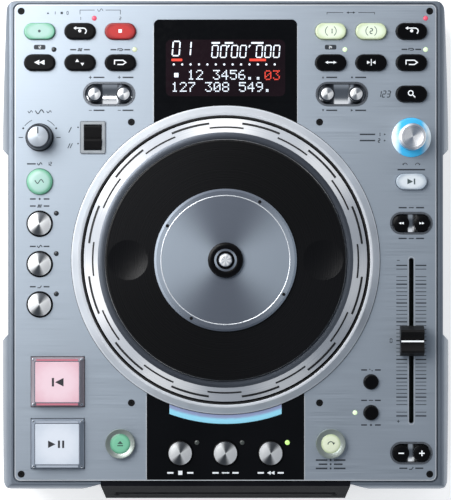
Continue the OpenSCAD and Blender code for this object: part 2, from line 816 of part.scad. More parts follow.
module centre_panel() {
    color(black)
        difference() {
            translate([0, 0, centre_under])
                linear_extrude(centre_t)
                    difference() {
                        column_plan(seat_gap);
                        translate([0, platter_y]) circle(hole_r);
                        for (p = centre_places) translate(p) circle(d = round_d + 2 * button_gap);
                        for (p = centre_leds) translate(p) circle(d = led_d + 2 * seat_gap);
                        at_platter() arc_plan(arc_gap);
                    }
            translate([-column_top_half, window_line_y, centre_z - 0.3]) cube([2 * column_top_half, 0.4, 1]);
        }
}

// Fixed ring round the platter, sloping down to the panel
module platter_ring() {
    color(silver) at_platter()
        rotate_extrude()
            polygon([[ring_in_r, panel_z], [ring_r, panel_z], [ring_r, panel_z + 0.8],
                [ring_r - 0.8, panel_z + 1.2], [ring_in_r + 1.2, panel_z + ring_h],
                [ring_in_r, panel_z + ring_h - 0.4]]);
}

// Open pill-shaped cup that hangs in the panel, with a hole for each key's stem
module well_cup(p, len, wid, pitch) {
    translate([p[0], p[1], 0])
        difference() {
            translate([0, 0, panel_z - well_depth - well_floor_t])
                linear_extrude(well_depth + well_floor_t + 0.3) stadium(len, wid);
            translate([0, 0, panel_z - well_depth])
                linear_extrude(10) stadium(len - 2 * well_wall, wid - 2 * well_wall);
            for (s = [-1, 1])
                translate([s * pitch / 2, 0, panel_z - well_depth - 5])
                    cylinder(d = key_stem_d + 2 * button_gap, h = 10);
        }
}

module key_wells() {
    color("#2a2d33") {
        for (p = metal_wells) well_cup(p, metal_well_len, metal_well_wid, metal_key_pitch);
        for (p = black_wells) well_cup(p, black_well_len, black_well_wid, black_key_pitch);
        paddle_housing();
    }
}

module led_lens(z) {
    translate([0, 0, z - panel_t]) cylinder(d = led_d, h = panel_t + led_proud);
}

module light_guides() {
    color("#9fe0f5") {
        at_platter() translate([0, 0, centre_under]) linear_extrude(centre_t + 0.2) arc_plan(0);
        translate([outer_x, knob_y, panel_under])
            ring(knob_shaft_d / 2 + running_gap, halo_d / 2, panel_t + 0.6);
        for (p = panel_leds) translate([p[0], p[1], 0]) led_lens(panel_z);
        for (p = centre_leds) translate([p[0], p[1], 0]) led_lens(centre_z);
    }
}

// ---- the case ----

// Solid that stands inside the shell's cavity and carries a corner screw
module corner_boss(p) {
    translate([p[0], p[1], panel_under - 12]) cylinder(r = 3.4, h = 12);
}

module bay_opening(margin, deep) {
    translate([-bay_w / 2 - margin, bay_floor_y - deep, bay_z - bay_h / 2 - margin])
        cube([bay_w + 2 * margin, bay_depth + deep + 5, bay_h + 2 * margin]);
}

module body_shell() {
    color(silver)
        difference() {
            union() {
                difference() {
                    shell_form(0);
                    translate([0, 0, -eps]) shell_form(wall);
                    translate([0, 0, -wall]) linear_extrude(shell_z + 2 * wall) shell_plan(wall);
                    // the seat of the top panel, with the groove round it, and the opening under it
                    translate([0, panel_mid_y, panel_under])
                        linear_extrude(3 * wall)
                            offset(groove_w) rounded_rect(panel_w, panel_len, panel_corner_r);
                    translate([0, panel_mid_y, panel_under - 2 * wall])
                        linear_extrude(3 * wall)
                            square([panel_w - 2 * ledge_w, panel_len - 2 * ledge_w], center = true);
                }
                // walls of the bay at the rear
                intersection() {
                    bay_opening(bay_wall, 0);
                    translate([-body_w / 2, bay_floor_y, 0]) cube([body_w, bay_depth, panel_z]);
                }
                // bosses under the panel's corners
                intersection() {
                    for (p = corner_screws) corner_boss(p);
                    shell_form(wall / 2);
                }
            }
            bay_opening(0, 1);
            // the fascia's lip takes the place of the front wall's upper edge
            translate([-fascia_w / 2 - seat_gap, shell_mid_y - 1, lip_z - seat_gap])
                cube([fascia_w + 2 * seat_gap, panel_inset + ledge_w + 1 + eps, panel_z]);
            // the way in for a disc
            translate([-slot_w / 2 - 1, shell_mid_y - 1, path_low - 1.2])
                cube([slot_w + 2, wall + 2, slot_h + 2.4]);
            for (p = corner_screws)
                translate([p[0], p[1], panel_under - 10]) cylinder(d = screw_d + 2 * seat_gap, h = 12);
            fascia_screw_holes();
        }
}

fascia_low = shell_z + 1.5;
fascia_step_z = shell_z + 12.5;
fascia_top = panel_z - 0.8;
lip_z = panel_z - 6;
lip_gap = 0.3;
fascia_wall = 2.2;
fascia_screw_x = fascia_w / 2 - 7;
fascia_screw_z = path_low - 7;
fascia_screw_sink = 1.2;
fascia_slope = (fascia_reach - 0.8) / (fascia_top - fascia_step_z);
fascia_face_y = shell_mid_y - 0.8 - fascia_slope * (fascia_top - fascia_screw_z);

module fascia_screw_holes() {
    for (i = [-1, 1])
        translate([i * fascia_screw_x, shell_mid_y + wall + 1, fascia_screw_z])
            rotate([90, 0, 0]) cylinder(d = screw_d + 2 * seat_gap, h = fascia_reach + wall + 4);
}

// Side view of the fascia: a wedge whose foot stands forward
module fascia_side(inset) {
    polygon([[shell_mid_y + inset, fascia_low + inset], [front_y + inset, fascia_low + inset],
        [front_y + inset, fascia_step_z - inset * 0.2], [shell_mid_y - 0.8 + inset, fascia_top - inset * 0.2],
        [shell_mid_y + inset, fascia_top - inset * 0.2]]);
}

module fascia_solid(half, inset) {
    translate([-half, 0, 0]) rotate([90, 0, 90]) linear_extrude(2 * half) fascia_side(inset);
}

module front_fascia() {
    tunnel_wall = 1.8;
    color("#26282b")
        difference() {
            union() {
                difference() {
                    fascia_solid(fascia_w / 2, 0);
                    intersection() {
                        fascia_solid(fascia_w / 2 - fascia_wall, fascia_wall);
                        translate([-fascia_w, front_y, 0])
                            cube([2 * fascia_w, fascia_reach + eps, panel_z - 14]);
                    }
                }
                // lip that closes the gap in front of the panels
                translate([-fascia_w / 2, shell_mid_y - eps, lip_z])
                    cube([fascia_w, panel_inset - lip_gap + eps, fascia_top - lip_z]);
                intersection() {
                    fascia_solid(fascia_w / 2, 0);
                    union() {
                        translate([-slot_w / 2 - tunnel_wall, front_y, path_low - tunnel_wall])
                            cube([slot_w + 2 * tunnel_wall, fascia_reach, slot_h + 2 * tunnel_wall]);
                        for (i = [-1, 1])
                            translate([i * fascia_screw_x, shell_mid_y, fascia_screw_z])
                                rotate([90, 0, 0]) cylinder(r = 3, h = fascia_reach);
                    }
                }
            }
            translate([-slot_w / 2, front_y - 1, path_low]) cube([slot_w, fascia_reach + 3, slot_h]);
            fascia_screw_holes();
            for (i = [-1, 1])
                translate([i * fascia_screw_x, fascia_face_y + fascia_screw_sink, fascia_screw_z])
                    rotate([90, 0, 0]) cylinder(d = screw_head_d + 2 * seat_gap, h = 6);
        }
}

foot_places = [for (i = [-1, 1], y = [rear_y - 25, front_y + 36]) [i * (body_w / 2 - 24), y]];
foot_bore = 2.4;

module bottom_cover() {
    vents = 9;
    color("#3b3e42")
        difference() {
            translate([0, 0, base_z]) linear_extrude(base_t) shell_plan(1);
            for (i = [0:vents - 1], s = [-1, 1])
                translate([s * 88, -62 + 9 * i, base_z - 1]) linear_extrude(base_t + 2) stadium(26, 3);
            for (p = foot_places)
                translate([p[0], p[1], base_z - 1]) cylinder(d = screw_d + 2 * seat_gap, h = base_t + 2);
        }
}

module rubber_feet() {
    color("#1b1b1c")
        for (p = foot_places)
            translate([p[0], p[1], 0])
                difference() {
                    cylinder(d1 = foot_d - 2, d2 = foot_d, h = foot_h);
                    translate([0, 0, -1]) cylinder(d = screw_head_d + 2, h = 1 + foot_h - foot_bore);
                    cylinder(d = screw_d + 2 * seat_gap, h = foot_h + 1);
                }
}

module case_screw(len) {
    depth = (screw_head_d - screw_d) / 2;
    difference() {
        union() {
            translate([0, 0, -len]) cylinder(d = screw_d, h = len - depth + eps);
            translate([0, 0, -depth]) cylinder(d1 = screw_d, d2 = screw_head_d, h = depth);
        }
        translate([0, 0, -0.6]) cylinder(d = screw_d * 0.7, h = 2, $fn = 6);
    }
}

module pan_screw(len) {
    difference() {
        union() {
            translate([0, 0, -len]) cylinder(d = screw_d, h = len + eps);
            cylinder(d = screw_head_d, h = 1.2);
        }
        translate([0, 0, 0.5]) cylinder(d = screw_d * 0.7, h = 2, $fn = 6);
    }
}

module case_screws() {
    color("#0f0f10") {
        for (p = concat(corner_screws, post_screws)) translate([p[0], p[1], panel_z]) case_screw(9);
        for (p = foot_places)
            translate([p[0], p[1], foot_h - foot_bore]) rotate([180, 0, 0]) pan_screw(foot_bore + base_t + 2);
        for (i = [-1, 1])
            translate([i * fascia_screw_x, fascia_face_y + fascia_screw_sink, fascia_screw_z])
                rotate([90, 0, 0]) pan_screw(shell_mid_y + wall - fascia_face_y - fascia_screw_sink - 0.3);
    }
}

// ---- inside ----

main_board_z = shell_z + 5.5;
main_board_low_y = loader_rear_y + 5;
main_board_high_y = bay_floor_y - 6;
main_board_half = body_w / 2 - 20;

module tact_switch(p) {
    translate([p[0], p[1], board_top - eps]) {
        linear_extrude(switch_base + eps) square(switch_side, center = true);
        cylinder(d = 3.4, h = switch_h + eps);
    }
}

module board_post(p) {
    translate([p[0], p[1], board_top - eps]) cylinder(d = 5, h = board_drop + eps);
}

module key_board() {
    board_half = panel_w / 2 - 8;
    board_front_y = panel_front_y + 4;
    board_rear_y = panel_rear_y - 7.5;
    display_h = 8.8;
    difference() {
        translate([-board_half, board_front_y, board_z])
            cube([2 * board_half, board_rear_y - board_front_y, board_t]);
        translate([-post_x - 8, post_front_y - 7, board_z - 1])
            cube([2 * post_x + 16, post_rear_y - post_front_y + 14, board_t + 2]);
    }
    for (p = concat(oval_places, round_places, centre_places, dot_places, big_places, key_places))
        tact_switch(p);
    for (x = [-outer_x, outer_x])
        translate([x, knob_y, board_top - eps]) linear_extrude(5.5) square(12, center = true);
    fader_box();
    // the display's glass tube
    translate([-33, window_line_y + 7, board_top - eps]) cube([66, 32, display_h]);
    for (s = [-1, 1]) {
        board_post([s * (mid_x + 5.6), well_y + 2]);
        board_post([s * mid_x, fader_y + 8]);
        board_post([s * 71.5, panel_front_y + 9]);
        board_post([s * 44, row1_y + 4]);
    }
}

module main_board() {
    translate([-main_board_half, main_board_low_y, main_board_z])
        cube([2 * main_board_half, main_board_high_y - main_board_low_y, board_t]);
    top = main_board_z + board_t - eps;
    for (i = [-1, 1], y = [main_board_low_y + 5, main_board_high_y - 5])
        translate([i * (main_board_half - 22), y, shell_z]) cylinder(d = 6, h = main_board_z - shell_z + eps);
    // the supply's transformer, its smoothing capacitors, the processors and a heat sink
    translate([-96, main_board_high_y - 50, top]) cube([42, 36, 24]);
    for (i = [0:3]) translate([-42 + 13 * i, main_board_high_y - 20, top]) cylinder(d = 10, h = 16);
    for (i = [0:2]) translate([10 + 30 * i, main_board_low_y + 14, top]) cube([20, 20, 2.2]);
    for (i = [0:5]) translate([-30, main_board_low_y + 10 + 4 * i, top]) cube([26, 1.4, 14]);
    for (i = [-1, 1]) translate([i * 80 - 12, main_board_low_y + 3, top]) cube([24, 5, 6]);
}

module circuit_boards() {
    color("#1f5a3a") {
        key_board();
        main_board();
    }
}

// Motor of the platter: a plate on four posts, a wound core and the bearing tube
module motor_stator() {
    plate_half = post_x + 5;
    color("#8d9296")
        difference() {
            union() {
                translate([-plate_half, post_front_y - 5, plate_z])
                    cube([2 * plate_half, post_rear_y - post_front_y + 10, plate_t]);
                for (p = post_screws)
                    translate([p[0], p[1], plate_z + plate_t - eps])
                        cylinder(r = post_r, h = panel_under - plate_z - plate_t + eps);
                at_platter() {
                    translate([0, 0, plate_z]) cylinder(r = bearing_r, h = bearing_top - plate_z);
                    translate([0, 0, plate_z + plate_t - eps]) cylinder(r = stator_r - 25, h = 14);
                    // the core's teeth with a coil wound on each
                    for (i = [0:coil_count - 1])
                        rotate([0, 0, 360 / coil_count * i]) {
                            translate([stator_r - 27, -3, plate_z + plate_t + 3]) cube([27, 6, 8]);
                            translate([stator_r - 22, -5, plate_z + plate_t + 1.5]) cube([17, 10, 11]);
                        }
                }
            }
            at_platter() translate([0, 0, plate_z - 1]) cylinder(d = shaft_d + 2 * running_gap, h = 40);
            for (p = post_screws)
                translate([p[0], p[1], panel_under - 9]) cylinder(d = screw_d + 2 * seat_gap, h = 12);
        }
}

module platter() {
    spindle_low = cap_z + cap_h + spindle_neck;
    rotor_low = plate_z + plate_t + 8;
    rim_t = 3;
    color("#c3c9cf") at_platter() {
        // deck, sloping band and rim
        rotate_extrude()
            polygon([[0, deck_z - deck_t], [rotor_r - rotor_t, deck_z - deck_t],
                [rotor_r - rotor_t, rotor_low], [rotor_r, rotor_low], [rotor_r, deck_z - deck_t],
                [platter_r - rim_t, deck_z - deck_t - 2.5],
                [platter_r - rim_t, rim_low], [platter_r, rim_low], [platter_r, rim_z],
                [band_r, deck_z], [band_r - 2.2, deck_z], [band_r - 2.6, deck_z - 0.4], [0, deck_z - 0.4]]);
        // boss, journal and the thicker end of the spindle, with a rounded tip
        translate([0, 0, bearing_top + 0.5]) cylinder(r = boss_r, h = deck_z - 1 - bearing_top);
        translate([0, 0, plate_z + 1]) cylinder(d = shaft_d, h = spindle_low - plate_z);
        translate([0, 0, spindle_low])
            rotate_extrude() cap_profile(spindle_d / 2, tip_z - spindle_low, spindle_round);
    }
}

module scratch_disc() {
    dimple_x = (hub_r + disc_r) / 2 + 0.9;
    dimple_ball = (dimple_r * dimple_r + dimple_depth * dimple_depth) / (2 * dimple_depth);
    color("#1c1c1e") at_platter()
        difference() {
            translate([0, 0, disc_z]) rotate_extrude() cap_profile(disc_r, disc_t, 0.9);
            translate([0, 0, disc_z - 1]) cylinder(d = spindle_d + 2 * running_gap, h = disc_t + 2);
            for (s = [-1, 1])
                translate([s * dimple_x, 0, hub_z - dimple_depth + dimple_ball])
                    sphere(dimple_ball, $fn = 144);
        }
}

// Silver plate on the scratch disc, with the black cap round the spindle
module hub_plate() {
    spindle_hole = spindle_d / 2 + running_gap;
    color(silver) at_platter()
        rotate_extrude()
            polygon([[spindle_hole, hub_z], [hub_r, hub_z], [hub_r, cap_z - 0.9], [hub_r - 1.2, cap_z],
                [cap_r, cap_z], [cap_r - 0.4, cap_z + cap_h - 0.8], [cap_r - 1.2, cap_z + cap_h],
                [spindle_hole, cap_z + cap_h]]);
}

module loader_frame() {
    half = loader_w / 2;
    in_w = loader_w - 2 * loader_t;
    depth = loader_rear_y - loader_front_y;
    rod_front_y = lens_y - sled_len / 2 - rod_block_t - 1;
    rod_stop_y = lens_y + sled_len / 2 + sled_travel + 1;
    color("#9a9fa4")
        difference() {
            union() {
                difference() {
                    translate([-half, loader_front_y, loader_z])
                        cube([loader_w, depth, loader_top - loader_z]);
                    translate([-half + loader_t, loader_front_y + loader_t, loader_z + loader_t])
                        cube([in_w, depth - 2 * loader_t, loader_top - loader_z - 2 * loader_t]);
                }
                for (i = [-1, 1]) {
                    for (y = [loader_front_y + 5.5, loader_rear_y - 8])
                        translate([i * leg_x, y, shell_z]) cylinder(r = leg_r, h = loader_z - shell_z + eps);
                    translate([i * rod_x, rod_front_y, sled_z + sled_h / 2])
                        rotate([-90, 0, 0]) cylinder(d = rod_d, h = loader_rear_y - rod_front_y - eps);
                    for (y = [rod_front_y, rod_stop_y])
                        translate([i * rod_x - rod_block_t, y, loader_z + eps])
                            cube([2 * rod_block_t, rod_block_t, sled_z + sled_h - loader_z]);
                }
                translate([0, turntable_y, loader_z]) cylinder(r = motor_r, h = turntable_z - 1 - loader_z);
                // guide above the disc's way in
                translate([-half + eps, roller_y - 6, path_low + slot_h + 1])
                    cube([loader_w - 2 * eps, 12, loader_t]);
            }
            // the front is open from the disc's path up to the lid
            translate([-half + loader_t, loader_front_y - 1, path_low - 0.6])
                cube([in_w, loader_t + 2, loader_top - loader_t - path_low + 0.6]);
            translate([0, turntable_y, loader_z + loader_t])
                cylinder(d = turntable_shaft_d + 2 * running_gap, h = turntable_z - loader_z);
            translate([-half - 1, roller_y, roller_z])
                rotate([0, 90, 0]) cylinder(d = roller_shaft_d + 2 * running_gap, h = loader_w + 2);
            // openings in the lid over the disc's clamp
            for (i = [-1, 1])
                translate([i * 34, turntable_y, loader_top - loader_t - 1])
                    cylinder(d = 40, h = loader_t + 2);
        }
}

module disc_turntable() {
    color("#33363a") translate([0, turntable_y, 0]) {
        translate([0, 0, loader_z + loader_t + 1])
            cylinder(d = turntable_shaft_d, h = turntable_z - loader_z - loader_t);
        translate([0, 0, turntable_z]) cylinder(d = turntable_d, h = turntable_t);
        translate([0, 0, turntable_z + turntable_t - eps]) cylinder(d1 = 14.8, d2 = 12.6, h = 1.5);
    }
}

module pickup_sled() {
    color("#2f3338")
        difference() {
            union() {
                translate([-sled_w / 2, lens_y - sled_len / 2, sled_z]) cube([sled_w, sled_len, sled_h]);
                translate([0, lens_y, sled_z + sled_h - eps]) cylinder(d = lens_d + 4, h = 1);
                translate([0, lens_y, sled_z + sled_h - eps]) cylinder(d = lens_d, h = 1.8);
            }
            for (i = [-1, 1])
                translate([i * rod_x, lens_y - sled_len, sled_z + sled_h / 2])
                    rotate([-90, 0, 0]) cylinder(d = rod_d + 2 * running_gap, h = 2 * sled_len);
        }
}

module feed_roller() {
    color("#202022") translate([0, roller_y, roller_z]) rotate([0, 90, 0]) {
        translate([0, 0, -loader_w / 2 + 0.2]) cylinder(d = roller_shaft_d, h = loader_w - 0.4);
        translate([0, 0, -slot_w / 2 + 4]) cylinder(d = roller_d, h = slot_w - 8);
    }
}

jack_x = [4, 19, 34];
mini_jack_x = [50, 62, 74];
plate_back_t = 1.5;

module socket_row() {
    for (x = jack_x)
        translate([x, bay_floor_y, bay_z]) rotate([-90, 0, 0]) {
            translate([0, 0, -eps]) cylinder(r = 5.4, h = 1.6);
            translate([0, 0, -eps]) cylinder(r = jack_r, h = jack_len);
        }
    for (x = mini_jack_x)
        translate([x, bay_floor_y, bay_z]) rotate([-90, 0, 0]) {
            translate([0, 0, -eps]) cylinder(r = 4, h = 2, $fn = 6);
            translate([0, 0, -eps]) cylinder(r = 3, h = 3.4);
        }
    // blocks behind the plate that hold the sockets
    translate([-4, bay_floor_y - plate_back_t - 12 + eps, bay_z - 8]) cube([86, 12, 16]);
    translate([inlet_x - inlet_w / 2 - 3, bay_floor_y - 16, bay_z - inlet_h / 2 - 3])
        cube([inlet_w + 6, 17.5, inlet_h + 6]);
    translate([power_x - 9, bay_floor_y - 20, bay_z - 7]) cube([18, 8, 14]);
    for (i = [-1, 1]) translate([power_x + i * 10 - 1, bay_floor_y - 20, bay_z - 7]) cube([2, 19, 14]);
}

module rear_connectors() {
    color("#3a3c40")
        difference() {
            union() {
                translate([-bay_w / 2 - bay_wall, bay_floor_y - plate_back_t, bay_z - bay_h / 2 - bay_wall])
                    cube([bay_w + 2 * bay_wall, plate_back_t, bay_h + 2 * bay_wall]);
                socket_row();
            }
            for (x = jack_x)
                translate([x, bay_floor_y, bay_z]) rotate([-90, 0, 0]) cylinder(r = 1.7, h = jack_len + 1);
            for (x = mini_jack_x)
                translate([x, bay_floor_y - 8, bay_z]) rotate([-90, 0, 0]) cylinder(r = 1.8, h = 14);
            difference() {
                translate([inlet_x - inlet_w / 2, bay_floor_y - 14, bay_z - inlet_h / 2])
                    cube([inlet_w, 20, inlet_h]);
                for (i = [-1:1])
                    translate([inlet_x + 7 * i - 1, bay_floor_y - 15, bay_z - (i == 0 ? 0 : 4)])
                        cube([2, 9, 4]);
            }
            translate([power_x - power_w / 2 - button_gap, bay_floor_y - 4, bay_z - power_h / 2 - button_gap])
                cube([power_w + 2 * button_gap, 8, power_h + 2 * button_gap]);
        }
}

module power_button() {
    inner_y = bay_floor_y - plate_back_t;
    color(black) translate([power_x, 0, bay_z]) {
        translate([-power_w / 2, inner_y - 1, -power_h / 2])
            cube([power_w, power_rise + plate_back_t + 1, power_h]);
        translate([-power_w / 2 - 1, inner_y - 1.6 - flange_gap, -power_h / 2 - 1])
            cube([power_w + 2, 1.6, power_h + 2]);
        translate([-2, bay_floor_y - 12 + power_travel + switch_gap, -2]) cube([4, 7, 4]);
    }
}

bottom_cover();
body_shell();
top_panel();
centre_panel();
front_fascia();
rubber_feet();
case_screws();
circuit_boards();
motor_stator();
platter();
platter_ring();
scratch_disc();
hub_plate();
loader_frame();
disc_turntable();
pickup_sled();
feed_roller();
rear_connectors();
key_wells();
light_guides();
sample_button();
loop_a_button();
stop_button();
rev_button();
pitch_key_button();
exit_left_button();
loop_1_button();
loop_2_button();
loop_b_button();
flip_button();
trim_button();
exit_right_button();
file_search_button();
next_track_button();
time_key();
preset_key();
title_key();
single_key();
search_back_key();
search_forward_key();
bend_down_key();
bend_up_key();
tap_button();
echo_button();
flanger_button();
filter_button();
brake_button();
dump_button();
reverse_button();
eject_button();
platter_mode_button();
key_adjust_button();
pitch_range_button();
cue_button();
play_button();
effects_knob();
parameter_knob();
effects_paddle();
pitch_fader();
power_button();
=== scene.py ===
"""Tabletop disc player for scratching: finishes, printed marks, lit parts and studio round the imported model."""
import json
import math

import bmesh
import bpy
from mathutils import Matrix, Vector


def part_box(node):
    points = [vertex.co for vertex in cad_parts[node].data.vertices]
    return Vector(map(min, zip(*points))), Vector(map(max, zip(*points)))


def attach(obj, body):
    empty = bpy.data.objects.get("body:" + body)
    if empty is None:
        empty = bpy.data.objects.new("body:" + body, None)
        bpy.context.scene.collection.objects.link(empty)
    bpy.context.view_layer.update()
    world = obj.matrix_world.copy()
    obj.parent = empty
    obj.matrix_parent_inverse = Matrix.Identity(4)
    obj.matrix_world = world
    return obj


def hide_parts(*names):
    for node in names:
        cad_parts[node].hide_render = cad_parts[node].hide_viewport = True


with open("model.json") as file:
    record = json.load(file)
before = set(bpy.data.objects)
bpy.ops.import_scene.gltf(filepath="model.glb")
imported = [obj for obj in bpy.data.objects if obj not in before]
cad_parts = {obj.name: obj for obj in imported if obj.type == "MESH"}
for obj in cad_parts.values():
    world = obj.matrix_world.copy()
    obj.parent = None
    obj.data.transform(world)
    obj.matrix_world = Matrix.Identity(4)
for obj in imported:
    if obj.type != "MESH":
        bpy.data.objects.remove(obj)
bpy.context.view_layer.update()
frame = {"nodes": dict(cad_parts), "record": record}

bl_info = {
    "name": "Tabletop Disc Player",
    "version": (1, 0, 0),
    "blender": (4, 5, 0),
    "location": "3D View > Sidebar > Disc Player",
    "description": "Dresses the player's fixed frame with its finishes, printed marks, lights and studio",
    "category": "Object",
}

MM = 0.001
TINY = 1e-6
SHARP_EDGE = 32  # degrees, faces that meet more steeply keep a hard edge
NODES = frame["nodes"]
BODY_OF = {node: body for body, nodes in frame["record"]["behaviour"]["bodies"].items() for node in nodes}


# ---- places, read from the frame ----

def box_mm(node):
    """Lowest and highest corner of a CAD node, in millimetres."""
    low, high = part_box(node)
    return [v / MM for v in low], [v / MM for v in high]


def middle(node):
    """Middle of a node in plan, and the height of its top, in millimetres."""
    low, high = box_mm(node)
    return (low[0] + high[0]) / 2, (low[1] + high[1]) / 2, high[2]


def half_width(node):
    """Half of a node's width, which is the radius of a round one, in millimetres."""
    low, high = box_mm(node)
    return (high[0] - low[0]) / 2


PANEL_LOW, PANEL_HIGH = box_mm("top_panel")
PANEL_Z = PANEL_HIGH[2]
COLUMN_Z = box_mm("centre_panel")[1][2]
PLATTER_X, PLATTER_Y, _ = middle("platter")
DISC_Z = box_mm("scratch_disc")[1][2]
DISC_R = half_width("scratch_disc")
RIM_R = half_width("platter")
RING_R = half_width("platter_ring")
DECK_Z = DISC_Z - 3.3  # deck of the platter, under the slip sheet and the disc
RING_TOP_Z = PANEL_Z + 4.62
ROUND_STEPS = 96  # facets round the wide turned pieces
RING_STEPS = 128

OVAL_BUTTONS = ("sample_button", "loop_a_button", "stop_button", "rev_button", "pitch_key_button",
                "exit_left_button", "loop_1_button", "loop_2_button", "loop_b_button", "flip_button",
                "trim_button", "exit_right_button", "file_search_button", "next_track_button")
LEFT_METAL_BUTTONS = ("echo_button", "flanger_button", "filter_button")
COLUMN_METAL_BUTTONS = ("brake_button", "dump_button", "reverse_button")
# Wells with their two keys, and the width and length of each well in plan
METAL_WELLS = (("time_key", "preset_key", 11.2, 25.4), ("title_key", "single_key", 11.2, 25.4))
BLACK_WELLS = (("search_back_key", "search_forward_key", 10.0, 21.6), ("bend_down_key", "bend_up_key", 10.0, 21.6))
METAL_KEYS = [key for well in METAL_WELLS for key in well[:2]]
BLACK_KEYS = [key for well in BLACK_WELLS for key in well[:2]]


# ---- settings that a user would change ----

def swatch(label, description, value):
    """A colour property, written as an sRGB hex value."""
    return bpy.props.FloatVectorProperty(name=label, description=description, default=rgb(value)[:3],
                                         subtype="COLOR", size=3, min=0, max=1)


def rgb(value):
    """Linear RGBA of an sRGB hex colour such as #a9b8c6."""
    channels = [int(value[i:i + 2], 16) / 255 for i in (1, 3, 5)]
    return tuple(c / 12.92 if c <= 0.04045 else ((c + 0.055) / 1.055) ** 2.4 for c in channels) + (1.0,)


class DiscPlayerColours(bpy.types.PropertyGroup):
    """Colours of the lit parts and of the print."""

    ink: swatch("Panel print", "Dark print on the aluminium panel", "#2a313a")
    white_ink: swatch("White print", "White print on black parts", "#e9edf0")
    mint: swatch("Sample and tap", "Lit caps of the sample and tap buttons", "#afd4c9")
    red: swatch("Stop", "Lit cap of the stop button", "#bb2a28")
    pale: swatch("Loop buttons", "Lit caps of the two loop buttons", "#eefbe2")
    pink: swatch("Cue", "Lit cap of the cue button", "#efd2db")
    cyan: swatch("Halo", "Light round the parameter knob", "#3fb4e8")
    digits: swatch("Display", "Lit digits of the display", "#dfe8f2")


class DiscPlayerSizes(bpy.types.PropertyGroup):
    """Sizes of the print and the studio."""

    film: bpy.props.FloatProperty(name="Print thickness", description="Height of a printed mark over its surface",
                                  default=0.04 * MM, min=0, unit="LENGTH")
    camera_height: bpy.props.FloatProperty(name="Camera height", description="Height of the camera over the table",
                                           default=1.534, min=0.5, unit="LENGTH")
    focal_length: bpy.props.FloatProperty(name="Focal length", description="Focal length of the camera's lens",
                                          default=188.9, min=10, unit="CAMERA")


def colours():
    """The user's colours."""
    return bpy.context.scene.disc_player_colours


def sizes():
    """The user's sizes."""
    return bpy.context.scene.disc_player_sizes


# ---- outlines and meshes, in millimetres ----

def at_angle(x, y, radius, degrees):
    """Point at an angle on a circle."""
    return x + radius * math.cos(math.radians(degrees)), y + radius * math.sin(math.radians(degrees))


def circle(x, y, radius, steps=40, start=0.0, turn=360.0):
    """Points round a circle, or along a part of it, in degrees."""
    count = steps if turn == 360.0 else steps + 1
    return [at_angle(x, y, radius, start + turn * i / steps) for i in range(count)]


def rounded_box(x, y, width, length, radius, steps=6):
    """Points round a rectangle with round corners."""
    points = []
    for quarter, (sx, sy) in enumerate(((1, 1), (-1, 1), (-1, -1), (1, -1))):
        points += circle(x + sx * (width / 2 - radius), y + sy * (length / 2 - radius), radius, steps,
                         90.0 * quarter, 90.0)
    return points


def skin(bm, rings, around=False):
    """Faces between closed rings of equal count, and from the last back to the first if it goes around."""
    for low, high in zip(rings, rings[1:] + rings[:1] if around else rings[1:]):
        for k in range(len(low)):
            n = (k + 1) % len(low)
            bm.faces.new((low[k], low[n], high[n], high[k]))


def loft(bm, layers):
    """Closed solid through outlines of equal count; layers are (outline, height)."""
    rings = [[bm.verts.new((x, y, z)) for x, y in outline] for outline, z in layers]
    bm.faces.new(rings[0][::-1])
    bm.faces.new(rings[-1])
    skin(bm, rings)


def plate(bm, outline, low, high):
    """Flat solid over an outline."""
    loft(bm, [(outline, low), (outline, high)])


def line(bm, points, width, low, high):
    """Flat solid along a line of points, with mitred corners."""
    left, right = [], []
    for i, (x, y) in enumerate(points):
        before = points[max(i - 1, 0)]
        after = points[min(i + 1, len(points) - 1)]
        normals = []
        for a, b in ((before, (x, y)), ((x, y), after)):
            length = math.dist(a, b)
            if length > TINY:
                normals.append(((a[1] - b[1]) / length, (b[0] - a[0]) / length))
        nx = sum(n[0] for n in normals) / len(normals)
        ny = sum(n[1] for n in normals) / len(normals)
        size = max(nx * nx + ny * ny, 0.2)  # keeps a sharp corner short
        nx, ny = nx / size * width / 2, ny / size * width / 2
        left.append((x + nx, y + ny))
        right.append((x - nx, y - ny))
    for i in range(len(points) - 1):
        plate(bm, [left[i], right[i], right[i + 1], left[i + 1]], low, high)


def lathe(bm, profile, x, y, closed=False, steps=64):
    """Turned solid; profile is a list of (radius, height)."""
    rings = []
    for radius, z in profile:
        on_axis = radius < TINY
        plan = [(x, y)] if on_axis else circle(x, y, radius, steps)
        rings.append([bm.verts.new((px, py, z)) for px, py in plan])
    pairs = list(zip(rings, rings[1:])) + ([(rings[-1], rings[0])] if closed else [])
    for low, high in pairs:
        for k in range(steps):
            n = k + 1
            corners = [low[k % len(low)], low[n % len(low)], high[n % len(high)], high[k % len(high)]]
            bm.faces.new(list(dict.fromkeys(corners)))


def make_piece(name, bm, material, body, stands_for=()):
    """Object from a mesh in millimetres, riding on its body."""
    bmesh.ops.recalc_face_normals(bm, faces=bm.faces)
    bmesh.ops.scale(bm, vec=(MM, MM, MM), verts=bm.verts)
    mesh = bpy.data.meshes.new(name)
    bm.to_mesh(mesh)
    bm.free()
    mesh.shade_smooth()
    mesh.set_sharp_from_angle(angle=math.radians(SHARP_EDGE))
    mesh.materials.append(material)
    obj = bpy.data.objects.new(name, mesh)
    bpy.context.scene.collection.objects.link(obj)
    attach(obj, body)
    if stands_for:
        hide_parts(*stands_for)
    return obj


def turned_piece(name, profile, x, y, material, body, closed=False, steps=64, stands_for=()):
    """One turned solid as a piece of its own."""
    bm = bmesh.new()
    lathe(bm, profile, x, y, closed, steps)
    return make_piece(name, bm, material, body, stands_for)


def paint(material, *nodes):
    """Gives CAD nodes a material in their own slots."""
    for node in nodes:
        for held in NODES[node].material_slots:
            held.material = material


# ---- signs: plain numbers and the common marks of players ----

